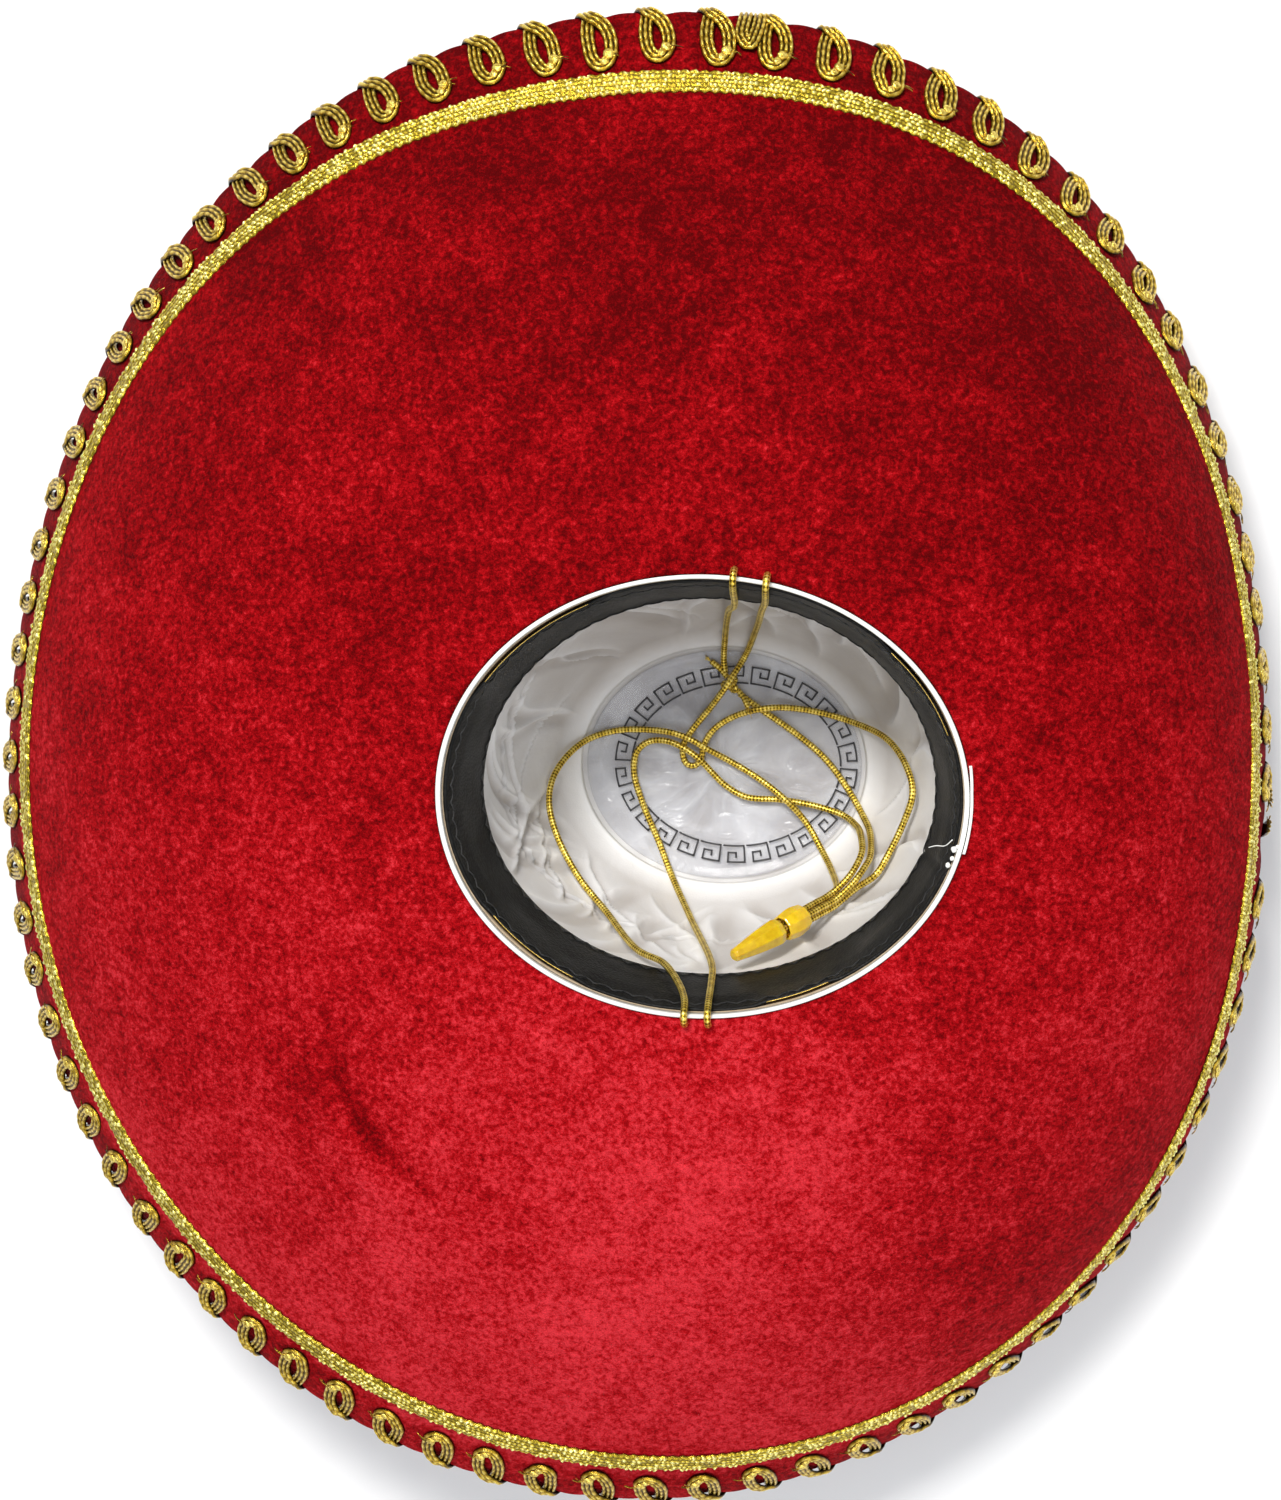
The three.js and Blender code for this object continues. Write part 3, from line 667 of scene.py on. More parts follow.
def eased(path, reach=5):
    """The path with its sharpest bends rounded over a few neighbours on each side."""
    spread = np.exp(-(np.arange(-reach, reach + 1) / (0.5 * reach)) ** 2)
    spread /= spread.sum()
    padded = np.concatenate([np.repeat(path[:1], reach, 0), path, np.repeat(path[-1:], reach, 0)])
    smooth = np.stack([np.convolve(padded[:, k], spread, "valid") for k in range(3)], 1)
    smooth[0], smooth[-1] = path[0], path[-1]
    return smooth


def add_cord(name, route, nodes):
    """A free cord; the route starts in the cord end."""
    path = eased(eased(smooth_route(route)))
    thing = add_parts(name, [braided_tube(path, CORD_DIAMETER / 2)], GOLD_CORD)
    finished(thing, "hat", "gold_cord", *nodes)


def add_chin_cord():
    left = [
        *reversed(strand_end(-INWARD)), *reversed(LEFT_BACK),
        *reversed(stitch(LEFT_FRONT, LEFT_BACK, LEFT_HOLES)), *LEFT_FRONT,
    ]
    tail = [*reversed(strand_end(UPWARD)), *reversed(TAIL)]
    right = [
        *reversed(strand_end(INWARD)), *reversed(RIGHT_BACK),
        *reversed(stitch(RIGHT_FRONT, RIGHT_BACK, RIGHT_HOLES)), *RIGHT_FRONT, *strand_end(-UPWARD),
    ]
    on_the_cord = [add_knot(), add_bead(), add_cord_end()]
    stretches = ("front", "stitch", "back")
    add_cord("chin_cord_left", left, [f"chin_cord_left_{part}" for part in stretches])
    add_cord("chin_cord_tail_plaited", tail, ["chin_cord_tail"])
    add_cord("chin_cord_right", right, [f"chin_cord_right_{part}" for part in stretches])


def add_knot():
    """An overhand knot of two ends, with their short cut stubs."""
    centre = np.array([3, 34, -122.3])
    t = np.linspace(0, TAU, 150)
    size, spread = 1.35, 1.35
    coil = np.stack([
        size * (np.sin(t) + spread * np.sin(2 * t)), size * (np.cos(t) - spread * np.cos(2 * t)),
        -0.75 * np.sin(3 * t),
    ], 1)
    coil = coil @ np.array(Matrix.Rotation(math.radians(-35), 3, "Z"))
    parts = [braided_tube(coil + centre, 1.25, 14)]
    stubs = (
        ([(1.5, 37, -122.6), (-1.6, 40.5, -123.4), (-5.4, 43.6, -123.9)], (-0.75, 0.62, 0.1)),
        ([(6, 31.6, -122.6), (8.6, 28.2, -121.6), (10.4, 24.6, -120.2)], (0.42, -0.85, 0.3)),
    )
    parts += [braided_tube(smooth_route(route), 1.3, 14) for route, _ in stubs]
    for route, way in stubs:
        for _ in range(9):
            spread = np.array(way) + rng.normal(0, 0.33, 3) * (1, 1, 0.5)
            parts.append(hair(route[-1] + np.outer(np.linspace(-0.6, 2.6, 8), spread), 0.16))
    return finished(add_parts("cord_knot_tied", parts, GOLD_CORD), "hat", "gold_cord", "cord_knot")


def on_bundle(outline, sides, twist):
    """Rings of points round the bundle axis: [radius, distance from the bead's end towards the tip]."""
    angle = bearings(sides) + TAU * twist / sides
    across = np.cos(angle)[:, None] * INWARD + np.sin(angle)[:, None] * UPWARD
    return np.array([BUNDLE_END - BUNDLE_WAY * along + radius * across for radius, along in outline])


def bevelled(thing, width):
    modifier = thing.modifiers.new("bevel", "BEVEL")
    modifier.width = width / 1000
    modifier.segments = 2
    modifier.limit_method = "ANGLE"
    modifier.angle_limit = math.radians(12)
    return thing


def add_bead():
    outline = [
        (4.4, 0.15), (4.95, 0), (5.5, 0.5), (6.05, 3.4), (6.25, 4.8), (6.25, 7.2), (6.05, 8.6), (5.5, 11.5),
        (4.95, 12), (4.4, 11.85),
    ]
    thing = ring("slide_bead_faceted", on_bundle(outline, 9, 0.2), BEAD, smooth=False)
    return finished(bevelled(thing, 0.22), "bead", "yellow_plastic", "slide_bead")


def add_cord_end():
    outline = [
        (0.05, 23.8), (4.4, 23.6), (4.4, 13.9), (4.8, 13.8), (5.3, 14.6), (5.75, 16.6), (5.5, 19.2), (4.9, 25),
        (4.1, 30.5), (3.3, 35), (2.9, 37.8), (2.0, 38.8), (0.05, 39),
    ]
    thing = dish("cord_end_faceted", on_bundle(outline, 8, 0.35), AMBER, smooth=False)
    return finished(bevelled(thing, 0.28), "hat", "yellow_plastic", "cord_end")


# ---- brim velvet, board and wire
LOOPS = 78
LOOP_PITCH = EDGE_LENGTH / LOOPS
LOOP_19_BEARING = math.radians(94.2)
FIRST_LOOP = np.interp(LOOP_19_BEARING, edge_thetas, edge_lengths) - 19 * LOOP_PITCH
GAP_LOOP = 77.5                  # where the braid was cut, in loops from the back
WIRE_RADIUS = 0.7


def brim_layer(low, high, beyond, columns, rows):
    """A closed outline between two heights, ending that far beyond the board's edge."""
    theta = bearings(columns)
    along = np.linspace(0, 1, rows)[:, None] * (round_the_brim(BRIM_REACH, theta) + beyond)
    return np.concatenate([brim(theta, along, low), brim(theta, along[::-1], high)])


def add_under_velvet():
    columns, rows = 900, 120
    theta = bearings(columns)
    length = np.interp(theta, edge_thetas, edge_lengths)
    edge = velvet_edge(theta) - COVERED
    u, v = shares(np.linspace(0, 1, rows), columns)
    along = v * edge
    swell = 1.1 * (lattice(u, v, 14, 4) - 0.5) + 0.5 * (lattice(u, v, 40, 10) - 0.5)
    swell *= np.clip(along / 25, 0, 1) * np.clip((edge - along) / 20, 0, 1)
    # The long crease, with a soft ridge outside it.
    bearing = np.degrees(theta)
    beyond = along - np.interp(bearing, *CREASE)
    strength = 1.2 * np.clip(1 - np.abs((bearing - 224) / 14), 0, 1) ** 0.6
    swell += strength * (np.exp(-((beyond - 11) / 8) ** 2) - np.exp(-(beyond / 7) ** 2))
    # The edge swells between the loops and is pulled in by each of them.
    pull = (0.5 + 0.5 * np.cos(TAU * (length - FIRST_LOOP) / LOOP_PITCH)) ** 1.4
    swell += np.clip(1 - (edge - along) / 17, 0, 1) * (0.7 - 1.9 * pull)
    top = brim(theta, along, COVERED + np.maximum(swell, -1.1))
    turn = np.linspace(0, math.pi, 12)[1:, None]
    radius = COVERED + 0.75 - 1.3 * pull
    rim = brim(theta, edge + radius * np.sin(turn), radius * np.cos(turn))
    back = brim(theta, edge[None, :], -1.4)
    inside = brim(theta, np.linspace(1, 0, 16)[:, None] * edge, 1.3)
    thing = ring("under_brim_velvet_crushed", np.concatenate([top, rim, back, inside]), VELVET)
    finished(thing, "hat", "crimson_velvet", "under_brim_velvet")


def add_brim():
    board = ring("brim_board_smooth", brim_layer(-1, 1, 0, 240, 26), BOARD)
    finished(board, "hat", "stiffened_board", "brim_board")
    add_under_velvet()
    upper = ring("upper_brim_velvet_crushed", brim_layer(-COVERED, -1.3, 0.5, 360, 44), VELVET)
    finished(upper, "hat", "crimson_velvet", "upper_brim_velvet")
    theta, corner = bearings(480), bearings(8)[:, None]
    along = round_the_brim(BRIM_REACH, theta) + 1.1 + WIRE_RADIUS * np.cos(corner)
    wire = ring("brim_wire_smooth", brim(theta, along, WIRE_RADIUS * np.sin(corner)), STEEL)
    finished(wire, "hat", "steel_wire", "brim_wire")


# ---- braid ring
BRAID_WIDTH = 9.3
BRAID_SETBACK = 27               # from the velvet's edge


def braid_ring(name, node, side, cell, per_cell):
    """A band of small metallic grains, on the shown side (side 1) or on the other."""
    def middle_of(theta):
        return velvet_edge(theta) - BRAID_SETBACK - BRAID_WIDTH / 2 - 1.3 * (1 - np.sin(theta))

    around = int(lengths_along(brim(edge_thetas, middle_of(edge_thetas), 0))[-1] / cell)
    across = 5
    columns, rows = around * per_cell, across * per_cell + 1
    u = np.arange(columns) / columns
    uu, vv = np.meshgrid(u, np.linspace(0, 1, rows))
    row = np.minimum(np.floor(vv * across).astype(int), across - 1)
    slant = uu * around + 0.5 * (row % 2) + 0.25 * np.sin(vv * 9) + 0.8 * lattice(uu, vv, 300, 4)
    column = np.floor(slant).astype(int) % around
    fu, fv = slant - np.floor(slant), vv * across - row
    strength = rng.choice([0.25, 0.5, 0.8, 1.15], (around, across))[column, row]
    lean = rng.uniform(-0.45, 0.45, (around, across))[column, row]
    dome = np.sin(math.pi * fu) ** 0.8 * np.sin(math.pi * np.clip(fv, 0, 1)) ** 0.8
    # relief also sets the gold's colour: painted highlight on the grains' tops, painted shade between them
    relief = np.clip(0.10 + dome * strength * (1 + lean * (2 * fu - 1)), 0, 1.2)
    scallop = 0.35 * np.sin(TAU * uu * around / 2) + 0.3 * (lattice(uu, vv, 160, 1) - 0.5)
    along = middle_of(TAU * u) + (BRAID_WIDTH / 2 + scallop) * (2 * vv - 1)
    lift = COVERED + 0.15 + 0.75 * (1 - (2 * vv - 1) ** 8) + 0.95 * relief
    top = brim(TAU * uu, along, side * lift)
    bottom = brim(TAU * uu, along[::-1], side * (COVERED + 0.1))[[0, -1]]
    relief = np.concatenate([relief, np.zeros((2, columns))])
    thing = ring(name, np.concatenate([top, bottom]), GOLD_RING, np.clip(relief * 1.15, 0, 1))
    finished(thing, "hat", "gold_braid", node)


# ---- edge loops
RIBBON_WIDTH = 5.7
RIBBON_THICK = 2.0
SECTION_SIDE = 21


def ribbon(length, inward, height, phase):
    """A three-ridged braid along a path given round the edge. Returns points, faces and relief."""
    centre = round_the_edge(length, inward, height)
    s = lengths_along(centre)[:, None]
    up = unit(round_the_edge(length, inward, height + 1.0) - centre)
    side = unit(np.cross(up, np.gradient(centre, axis=0)))
    x = np.linspace(-1, 1, SECTION_SIDE)
    ridge = np.abs(np.cos(1.5 * math.pi * x)) ** 0.7
    hand = np.where(np.floor(1.5 * x + 0.5) % 2 == 0, 1, -1)
    herring = np.cos(TAU * (s + phase) / 1.55 + 5.0 * np.abs(np.mod(1.5 * x + 0.5, 1) - 0.5) * hand)
    # relief also sets the gold's colour: painted shade in the furrows, painted highlight on the ridges
    relief = ridge * (0.725 + 0.275 * herring)
    rise = RIBBON_THICK * (0.30 + 0.42 * ridge + 0.28 * relief) * np.sqrt(np.clip(1.06 - x ** 6, 0, 1))
    across = side[:, None] * x[:, None] * RIBBON_WIDTH / 2
    top = centre[:, None] + across + up[:, None] * rise[..., None]
    low = centre[:, None] + 0.9 * across[:, [-1, 0]]
    return rod(np.concatenate([top, low], 1), np.concatenate([relief, np.zeros((len(s), 2))], 1))


def path_on_edge(start, stops, count):
    """A smooth path through (round, inward, height) stops about a loop's own place."""
    route = smooth_route([(a, b, c - 0.5 * (b < 1)) for a, b, c in stops], 0.1)
    pick = route[np.linspace(0, len(route) - 1, count).astype(int)]
    return start + pick[:, 0], pick[:, 1], pick[:, 2]


def wisp(length, inward, reach, lean):
    """A loose end of thread near a tie."""
    t = np.linspace(0, 1, 7)
    bend = rng.uniform(-1.5, 1.5)
    height = 1.6 + 0.8 * np.sin(math.pi * t) + 0.3 * t
    path = round_the_edge(length + lean * t + bend * t * (1 - t), inward + reach * t, height)
    return hair(path, 0.2, depth=0.1)


def lump(rows, columns, hole, least, unevenness):
    """Points of an uneven ball of radius about 1, with a hole at each pole of that half angle."""
    polar = np.linspace(hole, math.pi - hole, rows)[:, None]
    angle = bearings(columns)
    radius = least + unevenness * rng.random((rows, columns))
    return np.stack([
        radius * np.sin(polar) * np.cos(angle), radius * np.sin(polar) * np.sin(angle), radius * np.cos(polar),
    ], -1)


def tie(length, inward, size):
    """The bright lump of thread that ties a loop's inner end."""
    ball = size * lump(8, 12, 0.25, 0.88, 0.25)
    points = round_the_edge(length + 1.15 * ball[..., 0], inward + ball[..., 1], 1.7 + 0.62 * ball[..., 2])
    # relief set high, so the tie takes mostly the painted highlight end of the gold ramp
    return rod(points, np.clip(rng.uniform(0.55, 1.15, points.shape[:2]), 0, 1))


def add_loops():
    parts = []
    for index in range(LOOPS):
        if abs(index - GAP_LOOP) < 0.6:
            continue
        start = FIRST_LOOP + index * LOOP_PITCH + rng.normal(0, 0.45)
        size = rng.uniform(0.93, 1.07)
        lean = rng.normal(0, 0.5)
        deep = 20.0 * size
        front = [
            (10.6, -20, 0.5), (9.6, -11, 0.7), (7.6, -5, 1.0), (4.6, -1.2, 1.3), (1.0, 1.4, 1.3),
            (-2.0, 4.6, 1.0), (-3.8, 9.0, 0.5), (-4.2, 13.0, 0.3), (-3.8 + lean, deep * 0.83, 0.2),
            (-1.6 + lean, deep * 0.97, 0.1), (1.2 + lean, deep * 0.98, 0.1), (3.5 + lean, deep * 0.83, 0.1),
            (4.6, 12.4, 0.1), (4.9, 8, 0.05), (4.6, 3.6, 0), (4.2, -0.6, 0), (6.0, -6, 0), (8.8, -13, 0),
            (10.2, -20, 0),
        ]
        parts.append(ribbon(*path_on_edge(start - 1.4, front, 84), rng.uniform(0, 1.5)))
        foot = start - 1.4 + lean
        parts.append(tie(foot - 3.4, deep * 0.80, 1.9 * size))
        parts.append(tie(foot - 1.6, deep * 0.94, 1.5 * size))
        for _ in range(3):
            parts.append(wisp(foot - 4, deep * 0.8, rng.uniform(-2.0, 2.2), rng.uniform(-6.5, -3.2)))
    # A spare loop beside a wide one, and the two cut ends of the braid with their frayed threads.
    spare = [
        (-3, -14, 0.6), (-3.6, -4, 0.9), (-3.2, 5, 0.9), (-0.5, 13, 0.8), (2.6, 9, 0.7), (2.2, 2, 0.6),
        (1.2, -6, 0.5),
    ]
    parts.append(ribbon(*path_on_edge(FIRST_LOOP + 17.45 * LOOP_PITCH, spare, 50), 0.3))
    cut = FIRST_LOOP + GAP_LOOP * LOOP_PITCH
    t = np.linspace(0, 1, 6)
    for sign in (-1, 1):
        stub = [(sign * 13.5, -16, 0.2), (sign * 10.5, -6, 0.3), (sign * 8.2, 3, 0.5), (sign * 6.0, 9.5, 1.4)]
        parts.append(ribbon(*path_on_edge(cut, stub, 34), 0.7))
        for _ in range(10):
            a = cut + sign * (5.8 + rng.uniform(-1.4, 1.4) - rng.uniform(0.5, 3.5) * t)
            b = 9 + rng.uniform(1, 6) * t
            parts.append(hair(round_the_edge(a, b, 1.6 + rng.uniform(0, 2.2) * t)))
    finished(add_parts("edge_loop_braid_loops", parts, GOLD_LOOP), "hat", "gold_braid", "edge_loop_braid")


# ---- crown
STRETCH = np.array([SEMI_X / MEAN_RADIUS, SEMI_Y / MEAN_RADIUS])
CROWN = [
    (91.35, -0.8), (89.6, -25), (86.5, -50), (82.5, -78), (77.5, -104), (70.5, -126), (62, -140), (50, -149),
]


def smooth_profile(profile, count):
    """A denser outline through [radius, height] points."""
    flat = smooth_route([(r, 0, z) for r, z in profile], 0.4)
    pick = flat[np.linspace(0, len(flat) - 1, count).astype(int)]
    return pick[:, [0, 2]]


def oval(radius, angle, height):
    """Points about the axis, stretched to the head's oval."""
    x, y = radius * np.cos(angle) * STRETCH[0], radius * np.sin(angle) * STRETCH[1]
    return np.stack(np.broadcast_arrays(x, y, height), -1)


def lathed(profile, columns, bulge=0.0):
    """Outline points turned about the axis, each pushed out by its bulge."""
    profile = np.asarray(profile, float)
    return oval(profile[:, :1] + bulge, bearings(columns), profile[:, 1:])


def dented(points):
    """Four shallow dents in the crown."""
    theta = np.arctan2(points[..., 1] / STRETCH[1], points[..., 0] / STRETCH[0])
    near = np.exp(-((points[..., 2] + 118) / 28) ** 2)
    share = 1 - 0.06 * near * np.clip(-np.cos(4 * theta), 0, None)
    points[..., :2] *= share[..., None]
    return points


def crown_face(outwards, top):
    """The crown's outline that far outside its middle, from the opening to the axis."""
    profile = []
    for index, (radius, height) in enumerate(CROWN):
        before, after = np.array(CROWN[max(index - 1, 0)]), np.array(CROWN[min(index + 1, len(CROWN) - 1)])
        along = unit(after - before)
        profile.append((radius - along[1] * outwards, height + along[0] * outwards))
    profile[0] = (CROWN[0][0] + outwards, top)
    profile[-1] = (profile[-1][0], CROWN[-1][1] - outwards)
    rounded = smooth_profile(profile, 60).tolist()
    return [*rounded, (40, profile[-1][1]), (20, profile[-1][1]), (0.3, profile[-1][1])]


def add_crown():
    board = dented(lathed(crown_face(0, -0.8)[::-1] + crown_face(-2, -0.8), 160))
    finished(dish("crown_board_smooth", board, BOARD), "hat", "stiffened_board", "crown_board")
    skin = dented(lathed(crown_face(1.5, -2.9)[::-1] + crown_face(0.3, -2.9), 240))
    velvet = finished(dish("crown_velvet_crushed", skin, VELVET), "hat", "crimson_velvet", "crown_velvet")
    for number, radius, height in ((1, 96.15, -11.8), (2, 95.85, -18.1)):
        path = oval(radius, np.linspace(0, TAU, 1200), height)
        rope = [braided_tube(path, 2.95, corners=18, pitch=11.0, depth=0.2)]
        thing = add_parts(f"hatband_cord_{number}_twisted", rope, GOLD_CORD)
        finished(thing, "hat", "gold_cord", f"hatband_cord_{number}")


# ---- scrolls on the upper side
def add_scrolls():
    """Plain soutache scrolls, in pairs round the hidden side of the brim."""
    parts = []
    pairs, size, half_way = 8, 20, 112
    t = np.linspace(0, 1, 220)
    turns, radius = 2.2 * TAU * t, size * (1 - 0.78 * t)
    for index in range(pairs):
        for hand in (-1, 1):
            theta = TAU * (index + 0.5) / pairs + hand * (0.05 + radius * np.cos(turns) / 230)
            path = brim(theta, half_way + radius * np.sin(turns), -(COVERED + 1.1))
            keep = np.concatenate([[True], np.linalg.norm(np.diff(path, axis=0), axis=1) > 0.2])
            parts.append(braided_tube(path[keep], 1.2, corners=10, pitch=2.6, strands=2, depth=0.2))
    finished(add_parts("upper_brim_scrolls", parts, GOLD_CORD), "hat", "gold_braid")


# ---- inside the opening
def rounded_strip(outer, inner, bottom, top, soft):
    """The outline of a strip on edge, with a rounded top."""
    corner = np.linspace(0, math.pi, 9)
    middle, half = (outer + inner) / 2, (outer - inner) / 2
    crest = [(middle + half * math.cos(a), top - soft + soft * math.sin(a)) for a in corner]
    return [(outer, bottom), *crest, (inner, bottom)]


def add_strip():
    theta = bearings(400)
    wave = 0.25 * np.sin(3 * theta + 0.6) + 0.12 * np.sin(11 * theta)
    points = lathed(rounded_strip(91.3, 89.6, -0.5, 3.7, 0.6), 400)
    points[..., 2] += np.where(points[..., 2] > 1, wave, 0)
    finished(ring("head_strip_white", points, WHITE), "hat", "white_plastic", "head_strip")
    # The strip's free end lies outside its other end at the back.
    angle = np.radians(np.linspace(-13.5, 9, 60))
    away = 1 + 0.006 * np.clip((angle - np.radians(2)) / np.radians(7), 0, 1)
    lap = [oval(radius * away, angle, height) for radius, height in rounded_strip(92.5, 91.5, 2.55, 4.3, 0.35)]
    finished(add_parts("head_strip_overlap", [rod(np.stack(lap, 1))], WHITE), "hat", "white_plastic")


BAND_PROFILE = [(87.2, -1.2), (86.4, -5), (84.6, -14), (82.3, -25), (80.2, -35.5)]
SEAM_BEARING = math.radians(341)
TAPE_STRETCHES = ((14, 46), (112, 152), (212, 243), (283, 302))


def band_radius(height):
    radii, heights = zip(*reversed(BAND_PROFILE))
    return np.interp(height, heights, radii)


def tape_shows(theta):
    """1 where the tape is seen behind the sweatband's top edge, 0 where the edge hides it."""
    degrees = np.degrees(theta)
    shows = np.zeros(len(theta))
    for low, high in TAPE_STRETCHES:
        middle, half = (low + high) / 2, (high - low) / 2
        shows = np.maximum(shows, np.clip(1.3 - np.abs((degrees - middle) / half) ** 4, 0, 1))
    return shows


def add_sweatband():
    columns, rows = 420, 26
    inner = smooth_profile(BAND_PROFILE, rows)
    theta = bearings(columns)
    u, v = shares(np.linspace(0, 1, rows), columns)
    sag = 0.9 * (lattice(u, v, 26, 3) - 0.5) * np.sin(math.pi * v) + 0.35 * (lattice(u, v, 70, 5) - 0.5)
    sag = np.clip(sag, -0.2, 1) + 0.9 * np.exp(-((theta - SEAM_BEARING) / 0.018) ** 2)
    points = lathed(np.concatenate([inner, inner[::-1] + (1.2, 0)]), columns, np.concatenate([sag, sag[::-1]]))
    # The top edge leans out over the tape, except along the stretches where the tape shows.
    lean = 0.012 * (1 - tape_shows(theta)) * np.clip((points[..., 2] + 12) / 9, 0, 1)
    points[..., :2] *= (1 + lean)[..., None]
    finished(ring("sweatband_vinyl", points, VINYL), "hat", "black_vinyl", "sweatband")
    tape = lathed([(87.7, -14), (88.0, -14), (89.0, -0.8), (88.7, -0.8)], 300)
    shows, top = tape_shows(bearings(300)), tape[..., 2] > -5
    tape[..., 2] -= 4 * (1 - shows) * top
    tape[..., :2] *= (1 - 0.012 * shows * top)[..., None]
    finished(ring("sweatband_tape_gold", tape, GOLD_THREAD), "hat", "gold_braid", "sweatband_tape")
    add_band_stitches()


def add_band_stitches():
    """A zigzag row of black thread near each edge of the sweatband."""
    parts = []
    count = 150
    t = np.linspace(0, 1, 5)
    for height, swing in ((-3.4, 1.1), (-33.4, 1.3)):
        for index in range(count):
            up = 1 if index % 2 else -1
            z = height + up * swing * (2 * t - 1)
            radius = band_radius(z) - 0.1 - 0.22 * np.sin(math.pi * t)
            parts.append(hair(oval(radius, TAU * (index + t) / count, z), 0.26, 6, 0.1))
    finished(add_parts("sweatband_stitches", parts, BLACK_THREAD), "hat", "black_vinyl")


LINING_SIDE = [
    (86.6, -15), (82.2, -34.5), (80.4, -38.5), (79, -60), (74.5, -82), (68, -102), (61, -116), (57, -121.2),
    (54.6, -122.1),
]
LINING_TIP = [(56.4, -121.8), (54, -124), (44, -126.5), (0.3, -127)]
PATCH_FACE = [(53, -123.95), (44, -126.2), (0.3, -126.7)]

# Folds of the lining: bearing and height at both ends, width and depth, in degrees and millimetres.
FOLDS = [
    (158, -40, 205, -112, 4.2, 3.4), (186, -42, 222, -108, 3.6, 3.0), (214, -40, 240, -112, 4.0, 3.2),
    (236, -44, 252, -100, 3.0, 2.2), (262, -46, 270, -112, 4.4, 2.8), (296, -50, 280, -116, 3.4, 2.6),
    (320, -44, 300, -118, 4.0, 3.2), (338, -60, 325, -112, 3.4, 2.8), (10, -44, 352, -100, 4.2, 3.0),
    (34, -42, 20, -112, 5.0, 3.4), (58, -40, 66, -100, 4.6, 3.2), (84, -46, 74, -116, 4.2, 3.0),
    (112, -42, 104, -110, 4.8, 3.4), (138, -46, 128, -114, 3.8, 2.8), (152, -60, 160, -118, 3.4, 2.4),
]
LOOSE_LINING = 2.6               # how far the lining hangs out before the board starts to hold it


def lining_slack(theta, height, u, v):
    """How far the lining hangs outwards between its tight folds."""
    slack = 2.0 + 1.0 * (lattice(u, v, 12, 3) - 0.5) + 0.5 * (lattice(u, v, 30, 6) - 0.5)
    folds = list(FOLDS)
    for _ in range(34):
        bearing, slant = rng.uniform(0, 360), rng.normal(0, 26)
        top, long = rng.uniform(-80, -40), rng.uniform(25, 70)
        width, depth = rng.uniform(1.6, 3.4), rng.uniform(0.8, 2.0)
        folds.append((bearing, top, bearing + slant, max(top - long, -118), width, depth))
    for bearing0, height0, bearing1, height1, width, depth in folds:
        t = np.clip((height - height0) / (height1 - height0), -0.1, 1.1)
        line = np.radians(bearing0 + (bearing1 - bearing0) * t) + 0.05 * np.sin(5 * t)
        off = (np.mod(theta - line + math.pi, TAU) - math.pi) * 70
        inside = np.clip(1.15 - np.abs(2 * t - 1) ** 3, 0, 1)
        valley = depth * np.exp(-((off - 1.5 * width) / width) ** 2) * inside
        ridge = np.exp(-np.abs(off) / (0.7 * width)) * inside
        slack = slack * (1 - 0.8 * ridge) + 0.8 * valley
    # The deepest folds are held off the crown's board.
    over = np.clip(slack, LOOSE_LINING, 5) - LOOSE_LINING
    return np.clip(slack, 0, LOOSE_LINING) + np.tanh(over)


def add_lining_side():
    columns, rows = 720, 110
    profile = smooth_profile(LINING_SIDE, rows)
    theta = bearings(columns)
    height = profile[:, 1:]
    slack = lining_slack(theta, height, *shares(np.linspace(0, 1, rows), columns))
    slack = slack * np.clip((-36 - height) / 8, 0, 1) * np.clip((height + 122) / 6, 0, 1)
    face = lathed(profile, columns, slack)
    back = lathed(profile[::-1] + (0.4, -0.1), columns, slack[::-1])
    # painted shade on the wall towards the wearer's left, and a little towards the back
    shaded = 0.34 * np.clip(np.sin(theta), 0, 1) + 0.06 * np.clip(np.cos(theta), 0, 1)
    # painted shade also deeper where the cloth hangs further out, in the folds' valleys
    free = np.clip(slack / 6.5 + shaded, 0, 1)
    side = ring("lining_side_creased", np.concatenate([face, back]), LINING, np.concatenate([free, free[::-1]]))
    finished(side, "hat", "lining_cloth", "lining_side")


def add_lining_tip():
    columns, rows = 720, 60
    profile = smooth_profile(LINING_TIP, rows)
    radius = profile[:, :1]
    u, v = shares(profile[:, 0] / 57, columns)
    sag = 1.6 * np.abs(2 * lattice(u, v, 16, 3) - 1) + 0.8 * np.abs(2 * lattice(u, v, 34, 6) - 1)
    sag = sag * np.clip((57 - radius) / 6, 0, 1) * np.clip(radius / 14, 0, 1)
    face = lathed(profile[::-1], columns)
    face[..., 2] -= sag[::-1]
    back = lathed(profile, columns)
    back[..., 2] -= sag + 0.4
    # painted shade in the hollows of the sag, and more towards the wearer's left
    free = np.clip(sag / 3.2 + 0.06 + 0.16 * np.clip(np.sin(bearings(columns)), 0, 1), 0, 1)
    tip = dish("lining_tip_creased", np.concatenate([face, back]), LINING, np.concatenate([free[::-1], free]))
    finished(tip, "hat", "lining_cloth", "lining_tip")


def patch_height(x, y):
    radius = np.hypot(x / STRETCH[0], y / STRETCH[1])
    return np.interp(radius, [0, 44, 53], [-126.7, -126.2, -123.95])


